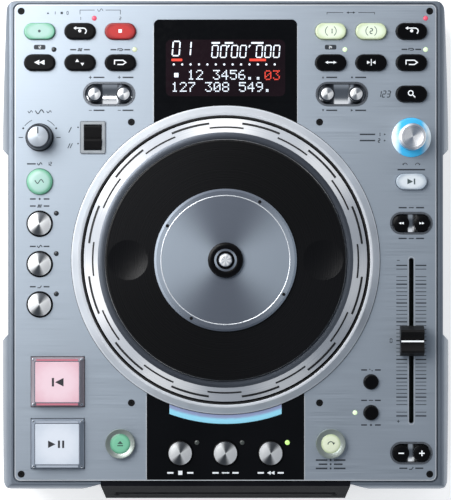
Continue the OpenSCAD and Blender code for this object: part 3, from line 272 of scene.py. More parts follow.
SEGMENT_ENDS = {"a": ((0, 2), (1, 2)), "b": ((1, 2), (1, 1)), "c": ((1, 1), (1, 0)), "d": ((0, 0), (1, 0)),
                "e": ((0, 1), (0, 0)), "f": ((0, 2), (0, 1)), "g": ((0, 1), (1, 1))}
SEGMENTS = {"0": "abcdef", "1": "bc", "2": "abged", "3": "abgcd", "4": "fgbc", "5": "afgcd", "6": "afgedc",
            "7": "abc", "8": "abcdefg", "9": "abcdfg"}
# Rows of 5 by 7 dots for each digit, from the top down; each number's bits are the dots of a row
DOT_ROWS = {"0": (14, 17, 19, 21, 25, 17, 14), "1": (4, 12, 4, 4, 4, 4, 14), "2": (14, 17, 1, 2, 4, 8, 31),
            "3": (31, 2, 4, 2, 1, 17, 14), "4": (2, 6, 10, 18, 31, 2, 2), "5": (31, 16, 30, 1, 1, 17, 14),
            "6": (6, 8, 16, 30, 17, 17, 14), "7": (31, 1, 2, 4, 8, 8, 8), "8": (14, 17, 17, 14, 17, 17, 14),
            "9": (14, 17, 17, 15, 1, 2, 12), ".": (0, 0, 0, 0, 0, 12, 12)}


def right_triangle(x, size=0.6):
    """Arrow head that points right."""
    return [(x - size, -size), (x + size, 0), (x - size, size)]


def left_triangle(x, size=0.6):
    """Arrow head that points left."""
    return [(x + size, -size), (x - size, 0), (x + size, size)]


def bar(x, width=0.3, height=0.6, y=0.0):
    """Upright bar; height is half of its length."""
    half = width / 2
    return [(x - half, y - height), (x + half, y - height), (x + half, y + height), (x - half, y + height)]


# Each sign holds filled outlines and lines, in a field from -1 to 1
SIGNS = {
    "play": ([right_triangle(0)], []),
    "play_pause": ([right_triangle(-0.75, 0.62), bar(0.45, 0.34, 0.62), bar(1.15, 0.34, 0.62)], []),
    "forward": ([right_triangle(-0.55, 0.55), right_triangle(0.55, 0.55)], []),
    "back": ([left_triangle(-0.55, 0.55), left_triangle(0.55, 0.55)], []),
    "next": ([right_triangle(-0.3, 0.6), bar(0.6, 0.3)], []),
    "previous": ([left_triangle(0.3, 0.6), bar(-0.6, 0.3)], []),
    "stop": ([bar(0, 1.2, 0.6)], []),
    "eject": ([[(-0.8, -0.05), (0.8, -0.05), (0, 0.8)], bar(0, 1.6, 0.15, -0.5)], []),
    "plus": ([bar(0, 0.34, 0.8), bar(0, 1.6, 0.17)], []),
    "minus": ([bar(0, 1.6, 0.17)], []),
    "dot": ([circle(0, 0, 0.5, 16)], []),
    "square": ([bar(0, 1, 0.5)], []),
    "up": ([[(-0.6, -0.5), (0.6, -0.5), (0, 0.6)]], []),
    "down": ([[(-0.6, 0.5), (0, -0.6), (0.6, 0.5)]], []),
    "loop": ([circle(0, 0.05, 0.34, 14), [(-1.35, 0.62), (-0.8, 0.25), (-0.75, 1.0)]],
             [[(-0.85, 0.62), (0.7, 0.62)] + circle(0.75, 0, 0.62, 10, 90, -150)[1:]]),
    "loop_out": ([], [[(-1.2, -0.45), (-1.2, 0.45), (0.6, 0.45), (1.2, 0), (0.6, -0.45), (-0.6, -0.45)]]),
    "swap": ([right_triangle(0.9, 0.32), left_triangle(-0.9, 0.32)], [[(-0.7, 0), (0.7, 0)]]),
    "up_down": ([[(-0.95, 0.1), (-0.15, 0.1), (-0.55, 0.75)], [(0.15, -0.1), (0.55, -0.75), (0.95, -0.1)]], []),
    "trim": ([right_triangle(-0.55, 0.35), left_triangle(0.55, 0.35), bar(0, 0.16, 0.7)], []),
    "search": ([], [circle(-0.2, 0.15, 0.5, 16, 0, 359), [(0.18, -0.22), (0.75, -0.75)]]),
    "wave": ([], [[(x / 5, 0.55 * math.sin(math.pi * x / 5)) for x in range(-6, 7)]]),
    "steps": ([], [[(-1.2, -0.5), (-0.6, -0.5), (-0.6, 0.5), (0, 0.5), (0, -0.5), (0.6, -0.5), (0.6, 0.5),
                    (1.2, 0.5)]]),
    "slope": ([], [[(-1.1, -0.5), (0.1, -0.5), (0.9, 0.5)]]),
    "slash": ([], [[(-0.4, -0.8), (0.4, 0.8)]]),
    "slashes": ([], [[(-0.75, -0.8), (0.0, 0.8)], [(0.0, -0.8), (0.75, 0.8)]]),
    "turn_right": ([[(0.75, -0.3), (1.2, 0.35), (0.4, 0.35)]], [circle(0, -0.2, 0.8, 12, 180, -165)]),
    "turn_left": ([[(-0.75, -0.3), (-1.2, 0.35), (-0.4, 0.35)]], [circle(0, -0.2, 0.8, 12, 0, 165)]),
}


class Marks:
    """Flat printed or lit marks on one surface, gathered into one mesh."""

    def __init__(self, level, sunk=0.02, proud=None):
        self.bm = bmesh.new()
        self.low = level - sunk
        self.high = level + (sizes().film / MM if proud is None else proud)

    def fill(self, outline):
        """A filled outline."""
        plate(self.bm, outline, self.low, self.high)

    def stroke(self, points, width):
        """A line of a width."""
        line(self.bm, points, width, self.low, self.high)

    def rules(self, x, y, near, far, width):
        """Short level lines at both sides of x, each from near to far."""
        for side in (-1, 1):
            self.stroke([(x + side * near, y), (x + side * far, y)], width)

    def sign(self, name, x, y, size, width=None):
        """One of the signs, where the size is half of its field and the width is that of its lines."""
        fills, strokes = SIGNS[name]
        for outline in fills:
            self.fill([(x + px * size, y + py * size) for px, py in outline])
        for points in strokes:
            self.stroke([(x + px * size, y + py * size) for px, py in points], width)

    def number(self, text, x, y, height, slant=0.0, width=None, pitch=1.55):
        """Digits of seven strokes each, centred on x and y, with a small gap between the strokes."""
        gap = 0.16
        cell = height * 0.48
        pitch *= cell
        left = x - (len(text) * pitch - (pitch - cell)) / 2
        bottom = y - height / 2
        for character in text:
            for name in SEGMENTS[character]:
                (ax, ay), (bx, by) = SEGMENT_ENDS[name]
                dx, dy = (bx - ax) * gap / 2, (by - ay) * gap / 2
                ends = [(ax + dx, ay + dy), (bx - dx, by - dy)]
                self.stroke([(left + px * cell + slant * py * height / 2, bottom + py * height / 2)
                             for px, py in ends], width)
            left += pitch

    def dot_text(self, text, x, y, pitch):
        """Digits of 5 by 7 dots, from the left end x and the top y."""
        dot = pitch * 0.82
        for place, character in enumerate(text):
            for row, bits in enumerate(DOT_ROWS.get(character, ())):
                for column in range(5):
                    if bits >> (4 - column) & 1:
                        self.fill(rounded_box(x + (place * 6 + column) * pitch, y - row * pitch, dot, dot,
                                              pitch * 0.1, 1))

    def piece(self, name, material, body):
        """All marks so far as one piece."""
        return make_piece(name, self.bm, material, body)


# ---- materials ----

# Real sizes of the patterns, in millimetres
SPRAY_CLOUD = 33.3   # slow change of tone over moulded and painted faces
SHEET_CLOUD = 111.0  # slower still over a rolled sheet
MILK_CLOUD = 2.86    # streaks of the white filler in milky plastic, drawn coarser than they are, to show
INK_MOTTLE = 1.11    # uneven ink behind a printing mesh of about 0.1 mm, drawn coarser to show
BOARD_CLOUD = 500.0  # slow change of tone over the table's laminate


def per_metre(size):
    """How often a pattern of a size in millimetres repeats in a metre."""
    return 1 / (size * MM)


def add_node(tree, kind, settings=(), inputs=()):
    """Adds a shader node with its settings, and gives its inputs a value or a link."""
    node = tree.nodes.new("ShaderNode" + kind)
    for name, value in dict(settings).items():
        setattr(node, name, value)
    for name, value in dict(inputs).items():
        if isinstance(value, bpy.types.NodeSocket):
            tree.links.new(value, node.inputs[name])
        else:
            node.inputs[name].default_value = value
    return node


def start_material(name, constants):
    """A material of one Principled shader, with its plain values on the shader's own sockets."""
    material = bpy.data.materials.new(name)
    material.use_nodes = True
    tree = material.node_tree
    tree.nodes.clear()
    shader = add_node(tree, "BsdfPrincipled", inputs=constants)
    add_node(tree, "OutputMaterial", inputs={"Surface": shader.outputs[0]})
    place = add_node(tree, "TexCoord").outputs["Object"]
    return material, tree, shader, place


def from_middle(tree, place, x, y, half_x, half_y):
    """Distance from a middle in plan, where the half sizes are 1."""
    local = add_node(tree, "Mapping", inputs={
        "Vector": place, "Location": (-x / half_x, -y / half_y, 0),
        "Scale": (1 / (half_x * MM), 1 / (half_y * MM), 0)})
    return add_node(tree, "VectorMath", {"operation": "LENGTH"}, {0: local.outputs[0]}).outputs["Value"]


def lay_finish(tree, shader, share, grain, dark, light, rough, depth):
    """Tints the shader by a share from dark to light; the grain changes its gloss and its relief, depth in mm."""
    tint = add_node(tree, "Mix", {"data_type": "RGBA"}, {0: share, 6: rgb(dark), 7: rgb(light)})
    gloss = add_node(tree, "MapRange", inputs={"Value": grain, "From Min": 0.3, "From Max": 0.7,
                                               "To Min": rough[0], "To Max": rough[1]})
    relief = add_node(tree, "Bump", inputs={"Height": grain, "Distance": depth * MM})
    tree.links.new(tint.outputs[2], shader.inputs["Base Color"])
    tree.links.new(gloss.outputs[0], shader.inputs["Roughness"])
    tree.links.new(relief.outputs[0], shader.inputs["Normal"])


def moulded(name, dark, light, rough, grain, depth, **constants):
    """Fine random grain, as on moulded plastic, paint, rubber or cast metal. Grain and depth are in mm."""
    material, tree, shader, place = start_material(name, constants)
    cloud = add_node(tree, "TexNoise", inputs={"Vector": place, "Scale": per_metre(SPRAY_CLOUD), "Detail": 3.0})
    grit = add_node(tree, "TexNoise", inputs={"Vector": place, "Scale": per_metre(grain), "Detail": 3.0})
    share = add_node(tree, "MapRange", inputs={"Value": cloud.outputs[0], "From Min": 0.35, "From Max": 0.65})
    lay_finish(tree, shader, share.outputs[0], grit.outputs[0], dark, light, rough, depth)
    return material


def brushed(name, dark, light, rough, length, width, depth, **constants):
    """Straight brush lines along X; length, width and depth of a line are in mm."""
    material, tree, shader, place = start_material(name, constants)
    stretched = add_node(tree, "Mapping", inputs={
        "Vector": place, "Scale": (per_metre(length), per_metre(width), per_metre(width))})
    lines = add_node(tree, "TexNoise", inputs={"Vector": stretched.outputs[0], "Scale": 1.0, "Detail": 4.0})
    cloud = add_node(tree, "TexNoise", inputs={"Vector": place, "Scale": per_metre(SHEET_CLOUD), "Detail": 2.0})
    both = add_node(tree, "Math", {"operation": "MULTIPLY_ADD"},
                    {0: lines.outputs[0], 1: 0.7, 2: cloud.outputs[0]})
    share = add_node(tree, "MapRange", inputs={"Value": both.outputs[0], "From Min": 0.5, "From Max": 1.2})
    lay_finish(tree, shader, share.outputs[0], lines.outputs[0], dark, light, rough, depth)
    return material


def spun(name, dark, light, rough, x, y, pitch, depth, fans, ring_share=0.2, start=1.1, reach=1.0, **constants):
    """Turned rings round a middle, with fans of highlight painted into the colour, like the fans of light that
    spun metal shows; pitch and depth are in mm.

    Real turning marks and grooves are about 0.1 mm apart, so the pitch is drawn coarser, to show. Fans is the
    number of painted highlights, start turns them, reach widens the painted dark between them, and ring_share is
    how much the rings show."""
    material, tree, shader, place = start_material(name, constants)
    local = add_node(tree, "VectorMath", {"operation": "SUBTRACT"}, {0: place, 1: (x * MM, y * MM, 0)})
    parts = add_node(tree, "SeparateXYZ", inputs={0: local.outputs[0]})
    radius = from_middle(tree, place, x, y, pitch, pitch)
    rings = add_node(tree, "TexNoise", {"noise_dimensions": "1D"}, {"W": radius, "Scale": 1.0, "Detail": 2.0})
    angle = add_node(tree, "Math", {"operation": "ARCTAN2"}, {0: parts.outputs[1], 1: parts.outputs[0]})
    turned = add_node(tree, "Math", {"operation": "MULTIPLY_ADD"}, {0: angle.outputs[0], 1: float(fans), 2: start})
    painted_fan = add_node(tree, "Math", {"operation": "COSINE"}, {0: turned.outputs[0]})
    both = add_node(tree, "Math", {"operation": "MULTIPLY_ADD"},
                    {0: rings.outputs[0], 1: ring_share, 2: painted_fan.outputs[0]})
    share = add_node(tree, "MapRange", {"interpolation_type": "SMOOTHSTEP"}, {
        "Value": both.outputs[0], "From Min": ring_share / 2 - 1, "From Max": ring_share / 2 + reach})
    lay_finish(tree, shader, share.outputs[0], rings.outputs[0], dark, light, rough, depth)
    return material


def milky(name, core, rim, x, y, half_x, half_y, glow, edge=(0.55, 1.0)):
    """Moulded milky acrylic, lit from below: it glows evenly, and its rim takes a colour of its own, a painted
    shade on most caps where less of that light comes through, and a painted light on the halo's lit side.
    """
    material, tree, shader, place = start_material(name, {
        "Roughness": 0.3, "IOR": 1.49, "Emission Strength": glow, "Coat Weight": 0.3, "Coat Roughness": 0.12})
    distance = from_middle(tree, place, x, y, half_x, half_y)
    cloud = add_node(tree, "TexNoise", inputs={"Vector": place, "Scale": per_metre(MILK_CLOUD), "Detail": 2.0})
    spread = 0.3 * (edge[1] - edge[0])
    uneven = add_node(tree, "Math", {"operation": "MULTIPLY_ADD"}, {0: cloud.outputs[0], 1: spread, 2: distance})
    share = add_node(tree, "MapRange", {"interpolation_type": "SMOOTHSTEP"}, {
        "Value": uneven.outputs[0], "From Min": edge[0] + spread / 2, "From Max": edge[1] + spread / 2})
    tint = add_node(tree, "Mix", {"data_type": "RGBA"}, {0: share.outputs[0], 6: core, 7: rim})
    tree.links.new(tint.outputs[2], shader.inputs["Base Color"])
    tree.links.new(tint.outputs[2], shader.inputs["Emission Color"])
    return material


def ink(name, colour, glow=0.0, rough=0.5):
    """Printed ink, phosphor or a small lens: one colour, a little uneven, with a glow where it is lit."""
    material, tree, shader, place = start_material(name, {
        "Roughness": rough, "Emission Strength": glow, "Emission Color": colour})
    cloud = add_node(tree, "TexNoise", inputs={"Vector": place, "Scale": per_metre(INK_MOTTLE), "Detail": 2.0})
    thin = tuple(c * 0.86 for c in colour[:3]) + (1.0,)
    tint = add_node(tree, "Mix", {"data_type": "RGBA"}, {0: cloud.outputs[0], 6: thin, 7: colour})
    tree.links.new(tint.outputs[2], shader.inputs["Base Color"])
    return material


def setting(name):
    """One of the user's colours, as RGBA."""
    return tuple(getattr(colours(), name)) + (1.0,)


# Finishes by their names: the pattern that shows how the surface was made; its dark and light colour, its
# roughness from and to, and the sizes of the pattern in mm; and the shader's constants
FINISHES = {
    # Bluish anodised sheet, brushed across: soft cool sheen with faint lines, drawn 0.5 mm wide to show
    "brushed_anodised_aluminium": (brushed, ("#adb8c3", "#b8c2cd", (0.4, 0.5), 40, 0.5, 0.0015), {
        "Metallic": 0.85}),
    # Cut edge of that sheet, milled bright: a thin light line, whose brightness is partly a painted highlight
    # along the edge
    "milled_aluminium_edge": (moulded, ("#d5dade", "#e6e9ec", (0.3, 0.4), 0.5, 0.001), {"Metallic": 0.5}),
    # Sprayed silver paint with metal flake: soft even sheen, darker where it curves down
    "sprayed_silver_flake_paint": (moulded, ("#7b848f", "#818a95", (0.43, 0.47), 0.5, 0.003), {
        "Metallic": 0.75, "Coat Weight": 0.25, "Coat Roughness": 0.2}),
    # Cast acrylic sheet, black right through: deep and mirror smooth
    "cast_black_acrylic": (moulded, ("#030304", "#060608", (0.08, 0.14), 3.0, 0.001), {"IOR": 1.46}),
    # Float glass, smoked: a shade browner than the black sheet round it
    "smoked_float_glass": (moulded, ("#14080e", "#1a0b12", (0.1, 0.16), 3.0, 0.0006), {"IOR": 1.52}),
    # ABS moulded in an etched mould: dark grey, whose deep grain shades its own shine
    "moulded_etched_abs": (moulded, ("#131418", "#1a1b1f", (0.5, 0.65), 0.7, 0.03), {
        "IOR": 1.53, "Specular IOR Level": 0.01}),
    # ABS moulded in a polished mould: near black, with a soft highlight along the edge
    "moulded_smooth_abs": (moulded, ("#08080a", "#0a0a0c", (0.22, 0.26), 1.2, 0.0005), {
        "IOR": 1.53, "Specular IOR Level": 0.14}),
    # ABS moulded in a blasted mould: black with a dull, even shine
    "moulded_satin_abs": (moulded, ("#0c0b0c", "#121112", (0.4, 0.5), 0.5, 0.006), {
        "IOR": 1.53, "Specular IOR Level": 0.14}),
    # Ivory ABS, moulded: warm pale rings with a low shine
    "moulded_ivory_abs": (moulded, ("#d8d2c2", "#e4dfd1", (0.35, 0.45), 0.6, 0.004), {"IOR": 1.53}),
    # Black enamel baked on sheet steel: dark, with a soft shine
    "baked_enamel_steel": (moulded, ("#1b1c1f", "#232428", (0.34, 0.44), 0.8, 0.006), {}),
    # Steel in black oxide: dull dark metal
    "black_oxide_steel": (moulded, ("#08080a", "#101114", (0.45, 0.6), 0.3, 0.004), {"Metallic": 0.6}),
    # Zinc-plated sheet: pale grey with cloudy spangle
    "zinc_plated_steel": (moulded, ("#8b9095", "#a4a9ad", (0.32, 0.5), 2.0, 0.003), {"Metallic": 0.9}),
    # Grey powder coat, baked: fine orange peel that breaks up the shine
    "powder_coated_steel": (moulded, ("#34373c", "#3f4247", (0.45, 0.6), 0.8, 0.03), {}),
    # Moulded rubber: black and matt
    "moulded_rubber": (moulded, ("#141415", "#1d1d1e", (0.7, 0.85), 0.6, 0.02), {}),
    # Chrome plate on a blasted ring: soft grey-green shine
    "satin_chrome_plate": (moulded, ("#a3ada6", "#b3bcb6", (0.3, 0.38), 1.0, 0.001), {"Metallic": 0.8}),
    # Chrome plate on polished metal: bright mirror with hardly any grain
    "polished_chrome_plate": (moulded, ("#d6dade", "#e3e6e9", (0.08, 0.14), 1.5, 0.0006), {"Metallic": 1.0}),
    # Green solder mask cured over copper: glossy with faint traces
    "cured_solder_mask": (moulded, ("#0c1f16", "#12291d", (0.25, 0.4), 1.2, 0.01), {}),
    # Nickel plate on pressed sheet: grey with a clear shine
    "satin_nickel_plate": (moulded, ("#70757c", "#858a91", (0.26, 0.34), 1.0, 0.001), {"Metallic": 0.7}),
    # Zinc casting, polished: light grey mirror that picks up the lamp along one side
    "polished_zinc_casting": (moulded, ("#c9cdd2", "#dcdfe2", (0.1, 0.16), 1.5, 0.0006), {"Metallic": 1.0}),
    # Gunmetal lacquer sprayed on a turned part: dark, with bright edges
    "sprayed_gunmetal_lacquer": (moulded, ("#33373d", "#42464d", (0.26, 0.36), 0.6, 0.002), {"Metallic": 0.8}),
    # Aluminium, cut and bright anodised: near white, with a soft shine
    "bright_anodised_aluminium": (moulded, ("#dde1e6", "#eaedf0", (0.3, 0.4), 1.5, 0.0006), {"Metallic": 0.6}),
    # Silver lacquer sprayed on the cast ring: even and light
    "sprayed_silver_lacquer": (moulded, ("#d3d8de", "#dfe3e8", (0.36, 0.46), 0.8, 0.002), {"Metallic": 0.4}),
    # Polyester film, rolled: thin and grey-white, with a low even shine
    "rolled_polyester_film": (moulded, ("#b9bcc0", "#c9ccd0", (0.4, 0.5), 1.0, 0.002), {"IOR": 1.5}),
}
MATERIALS = {}


def finish(name):
    """A finish by its name, made once."""
    if name not in MATERIALS:
        pattern, values, constants = FINISHES[name]
        MATERIALS[name] = pattern(name, *values, **constants)
    return MATERIALS[name]


# ---- operators ----

class DISCPLAYER_OT_stage(bpy.types.Operator):
    """Make the floor, the room, the soft lamp and the camera that looks straight down"""

    bl_idname = "disc_player.stage"
    bl_label = "Stage"

    floor_half, floor_thickness = 3000, 20  # mm
    floor_lift = 0.58  # brings the floor to plain white where the camera or a mirror sees it
    room_light = 1.15
    camera_shift_rear = 0.0027  # m, the photo's middle lies this much behind the object's
    softbox = ((-0.36, 0.3, 0.66), 0.5, 4.6)  # place and size in m, power in W

    def execute(self, context):
        scene = context.scene
        scene.view_settings.view_transform = "Standard"
        self.make_floor(scene)
        self.make_world(scene)
        self.make_lamp(scene, "key_softbox", *self.softbox)
        camera = bpy.data.cameras.new("photo_camera")
        camera.lens = sizes().focal_length
        camera.clip_end = 20
        seen_from = bpy.data.objects.new("photo_camera", camera)
        seen_from.location = (0.0, self.camera_shift_rear, sizes().camera_height)
        scene.collection.objects.link(seen_from)
        scene.camera = seen_from
        return {"FINISHED"}

    def make_floor(self, scene):
        """The table's top, wide enough to be all that the camera sees behind the player."""
        half = self.floor_half
        bm = bmesh.new()
        plate(bm, [(-half, -half), (half, -half), (half, half), (-half, half)], -self.floor_thickness, 0)
        bmesh.ops.scale(bm, vec=(MM, MM, MM), verts=bm.verts)
        mesh = bpy.data.meshes.new("table_top")
        bm.to_mesh(mesh)
        bm.free()
        # White laminate, pressed: satin and nearly even, so that it takes a soft shadow
        material, tree, shader, place = start_material("pressed_white_laminate", {"Roughness": 0.55})
        cloud = add_node(tree, "TexNoise", inputs={"Vector": place, "Scale": per_metre(BOARD_CLOUD)})
        tint = add_node(tree, "Mix", {"data_type": "RGBA"},
                        {0: cloud.outputs[0], 6: rgb("#f2f2f1"), 7: rgb("#f7f7f6")})
        tree.links.new(tint.outputs[2], shader.inputs["Base Color"])
        ray = add_node(tree, "LightPath")
        seen = ray.outputs["Is Camera Ray"]
        for other in ("Is Glossy Ray", "Is Transmission Ray"):
            seen = add_node(tree, "Math", {"operation": "MAXIMUM"}, {0: seen, 1: ray.outputs[other]}).outputs[0]
        lift = add_node(tree, "Math", {"operation": "MULTIPLY"}, {0: seen, 1: self.floor_lift})
        tree.links.new(lift.outputs[0], shader.inputs["Emission Strength"])
        mesh.materials.append(material)
        floor = bpy.data.objects.new("table_top", mesh)
        scene.collection.objects.link(floor)

    def make_world(self, scene):
        """A room with pale walls, bright up and to the left, under a dim ceiling."""
        world = bpy.data.worlds.new("studio")
        world.use_nodes = True
        tree = world.node_tree
        tree.nodes.clear()
        direction = add_node(tree, "TexCoord").outputs["Generated"]
        side = add_node(tree, "VectorMath", {"operation": "DOT_PRODUCT"}, {0: direction, 1: (-0.78, 0.62, 0)})
        wall = add_node(tree, "MapRange", {"interpolation_type": "SMOOTHSTEP"},
                        {"Value": side.outputs["Value"], "From Min": -0.5, "From Max": 0.7})
        tint = add_node(tree, "Mix", {"data_type": "RGBA"},
                        {0: wall.outputs[0], 6: rgb("#8a9098"), 7: rgb("#fbfcff")})
        height = add_node(tree, "SeparateXYZ", inputs={0: direction}).outputs[2]
        ceiling = add_node(tree, "MapRange", {"interpolation_type": "SMOOTHSTEP"},
                           {"Value": height, "From Min": 0.7, "From Max": 0.95})
        whole = add_node(tree, "Mix", {"data_type": "RGBA"},
                         {0: ceiling.outputs[0], 6: tint.outputs[2], 7: rgb("#565c64")})
        light = add_node(tree, "Background", inputs={"Color": whole.outputs[2], "Strength": self.room_light})
        add_node(tree, "OutputWorld", inputs={"Surface": light.outputs[0]})
        scene.world = world

    def make_lamp(self, scene, name, place, size, power):
        """A square soft lamp that faces the player."""
        lamp = bpy.data.lights.new(name, "AREA")
        lamp.size = size
        lamp.energy = power
        obj = bpy.data.objects.new(name, lamp)
        obj.location = place
        obj.rotation_euler = (-Vector(place)).to_track_quat("-Z", "Y").to_euler()
        scene.collection.objects.link(obj)


class DISCPLAYER_OT_case(bpy.types.Operator):
    """Finish the shell, the base, the fascia, the feet and the screws"""

    bl_idname = "disc_player.case"
    bl_label = "Case"

    def execute(self, context):
        paint(finish("sprayed_silver_flake_paint"), "body_shell")
        paint(finish("powder_coated_steel"), "bottom_cover")
        paint(finish("moulded_etched_abs"), "front_fascia")
        paint(finish("moulded_rubber"), "rubber_feet")
        paint(finish("black_oxide_steel"), "case_screws")
        return {"FINISHED"}


class DISCPLAYER_OT_inside(bpy.types.Operator):
    """Finish the boards, the motor and the disc loader"""

    bl_idname = "disc_player.inside"
    bl_label = "Inside"

    def execute(self, context):
        paint(finish("cured_solder_mask"), "circuit_boards")
        paint(finish("zinc_plated_steel"), "motor_stator", "loader_frame")
        paint(finish("moulded_satin_abs"), "disc_turntable", "pickup_sled")
        paint(finish("moulded_rubber"), "feed_roller")
        return {"FINISHED"}


class DISCPLAYER_OT_panels(bpy.types.Operator):
    """Finish the two top panels and print their marks"""

    bl_idname = "disc_player.panels"
    bl_label = "Panels"

    # All places below are in millimetres from the middle of the piece that they belong to
    # Captions: button, how far behind it, sign, and a number where it has one
    captions = (("pitch_key_button", 7.2, "steps"), ("exit_left_button", 7.2, "loop_out"),
                ("tap_button", 9.8, "wave", "12"), ("tap_button", -9.6, "dot"), ("echo_button", 9.8, "steps"),
                ("flanger_button", 9.8, "wave"), ("filter_button", 9.8, "slope"),
                ("exit_right_button", 7.4, "loop_out"), ("key_adjust_button", 6.6, "up_down"),
                ("pitch_range_button", 6.8, "swap"), ("pitch_range_button", -6.8, "dot"))
    # Metal keys with the signs behind and in front of them
    key_signs = (("time_key", "plus", "minus"), ("preset_key", "plus", "minus"), ("title_key", "up", "down"),
                 ("single_key", "dot", "play"))
    # Black wells: sign, its size, the levels it stands at, and both ends of the rules beside it
    well_signs = (("swap", 1.3, (8.6, -8.4), 2.6, 7.0), ("slope", 1.2, (-8.4,), 2.2, 6.6))
    # Small white numbers on dark fields behind two buttons
    boxed = (("rev_button", "12"), ("flip_button", "34"))
    box_rear = 8.6
    column_signs = (("brake_button", "stop"), ("dump_button", "swap"), ("reverse_button", "back"))
    column_front = 10.9

    def execute(self, context):
        paint(finish("brushed_anodised_aluminium"), "top_panel")
        paint(finish("cast_black_acrylic"), "centre_panel")
        # Screen-printed ink: matt, with edges that end at once; the white ink is also given a faint painted glow,
        # though no lamp is behind it
        dark_ink = ink("dark_screen_print", setting("ink"))
        white_ink = ink("white_screen_print", setting("white_ink"), glow=0.15)
        marks = Marks(PANEL_Z)
        for caption in self.captions:
            self.caption(marks, *caption)
        self.left_rear_marks(marks)
        self.key_marks(marks)
        self.knob_marks(marks)
        self.paddle_marks(marks)
        self.right_marks(marks)
        self.fader_scale(marks)
        marks.piece("panel_print", dark_ink, "case")
        self.window_corners()
        self.polished_edges()
        boxes = Marks(PANEL_Z + 0.03)
        for node, number in self.boxed:
            x, y, _ = middle(node)
            boxes.number(number, x - 0.2, y + self.box_rear, 1.3, width=0.3)
        boxes.piece("panel_print_light", white_ink, "case")
        column = Marks(COLUMN_Z)
        for node, sign in self.column_signs:
            x, y, _ = middle(node)
            column.sign(sign, x, y - self.column_front, 1.9, 0.6)
            column.rules(x, y - self.column_front, 3.8, 7.2, 0.9)
        column.piece("column_print", white_ink, "case")
        return {"FINISHED"}

    def window_corners(self):
        """Fills that round the upper corners of the display window."""
        half, rear, radius = 39.7, 130.2, 3.4  # half of the window's width, its rear edge, its corners
        bm = bmesh.new()
        for side in (-1, 1):
            bend = circle(side * (half - radius), rear - radius, radius, 8, 0 if side > 0 else 90, 90)
            plate(bm, bend + [(side * half, rear)], COLUMN_Z - 0.4, PANEL_Z)
        make_piece("window_corners", bm, finish("brushed_anodised_aluminium"), "case")

    def polished_edges(self):
        """Bright cut edges of the panel, drawn as flat lines whose light colour is partly a painted highlight: its
        outline, both sides of the column and the fader's slot.
        """
        inset = 0.5
        edges = Marks(PANEL_Z)
        outline = rounded_box((PANEL_LOW[0] + PANEL_HIGH[0]) / 2, (PANEL_LOW[1] + PANEL_HIGH[1]) / 2,
                              PANEL_HIGH[0] - PANEL_LOW[0] - inset, PANEL_HIGH[1] - PANEL_LOW[1] - inset, 2.8)
        edges.stroke(outline + outline[:1], 0.45)
        # Beside the display window and beside the column's front end: across, rear, front, width
        for across, rear, front, width in ((39.85, 126.6, 74.0, 0.35), (43.75, -78.0, PANEL_LOW[1] + 0.4, 0.4)):
            for side in (-1, 1):
                edges.stroke([(side * across, rear), (side * across, front)], width)
        x, y, _ = middle("pitch_fader")
        slot = rounded_box(x, y, 3.3, 93.0, 1.6)
        edges.stroke(slot + slot[:1], 0.2)
        edges.piece("polished_edges", finish("milled_aluminium_edge"), "case")

    def caption(self, marks, node, rear, sign, number=None):
        """A sign between two short rules, or between a long rule and a number."""
        x, y, _ = middle(node)
        y += rear
        marks.sign(sign, x, y, 1.15, 0.5)
        if number:
            marks.number(number, x + 5.4, y, 1.9, width=0.42)
            marks.stroke([(x - 7.0, y), (x - 2.2, y)], 0.75)
        else:
            marks.rules(x, y, 2.2, 5.4, 0.75)

    def left_rear_marks(self, marks):
        """Row of signs behind the sample button, and the bracket over the loop and stop buttons."""
        x, y, _ = middle("sample_button")
        marks.sign("up", x + 4.6, y + 10.2, 1.1)
        marks.sign("square", x + 12.2, y + 10.2, 1.3)
        for number, across in (("1", 8.2), ("0", 15.4)):
            marks.number(number, x + across, y + 10.2, 1.7, width=0.35)
        loop_x, stop_x, rail = middle("loop_a_button")[0], middle("stop_button")[0], y + 11.8
        between = (loop_x + stop_x) / 2
        for number, end, side in (("1", loop_x, 1), ("2", stop_x, -1)):
            marks.stroke([(end, y + 9.4), (end, rail), (between - side * 3, rail)], 0.3)
            marks.number(number, end, y + 7.2, 1.6, width=0.35)
        marks.sign("wave", between, rail, 1.3, 0.3)
        for node, _ in self.boxed:
            bx, by, _ = middle(node)
            marks.fill(rounded_box(bx, by + self.box_rear, 6.4, 2.6, 0.8))

    def key_marks(self, marks):
        """Signs behind and in front of the keys in the wells."""
        for node, rear, front in self.key_signs:
            x, y, _ = middle(node)
            for sign, level in ((rear, y + 9.2), (front, y - 9.0)):
                marks.sign(sign, x - 2.4, level, 1.05)
                marks.stroke([(x - 0.6, level), (x + 5.4, level)], 0.75)
        for (first, second, _, _), (sign, size, levels, near, far) in zip(BLACK_WELLS, self.well_signs):
            x = (middle(first)[0] + middle(second)[0]) / 2
            for level in levels:
                y = middle(first)[1] + level
                marks.sign(sign, x, y, size, 0.5)
                marks.rules(x, y, near, far, 0.75)

    def knob_marks(self, marks):
        """Waves and the turning range round the effects knob, and the marks round the parameter knob."""
        x, y, _ = middle("effects_knob")
        for across, size, width in ((0, 2.0, 0.55), (-5.2, 1.1, 0.4), (5.2, 1.1, 0.4)):
            marks.sign("wave", x + across, y + 14.2, size, width)
        marks.rules(x, y, 9.2, 11.6, 0.45)
        for side in (-1, 1):
            start = 90 - side * 52
            marks.stroke(circle(x, y, 10.4, 8, start, side * 28), 0.35)
            tip_x, tip_y = at_angle(x, y, 10.4, start - side * 9)
            marks.sign("dot", tip_x, tip_y, 1.1)
        x, y, _ = middle("parameter_knob")
        for number, level in (("1", y + 1.7), ("2", y - 1.7)):
            marks.sign("play", x - 14.6, level, 0.9)
            marks.stroke([(x - 28.5, level), (x - 20.0, level)], 0.8)
            marks.number(number, x - 17.8, level, 2.0, width=0.45)
        for sign, across in (("turn_left", -3.4), ("turn_right", 3.4)):
            marks.sign(sign, x + across, y - 15.0, 1.4, 0.35)
        marks.stroke([(x - 7.6, y - 17.8), (x + 7.6, y - 17.8)], 0.8)

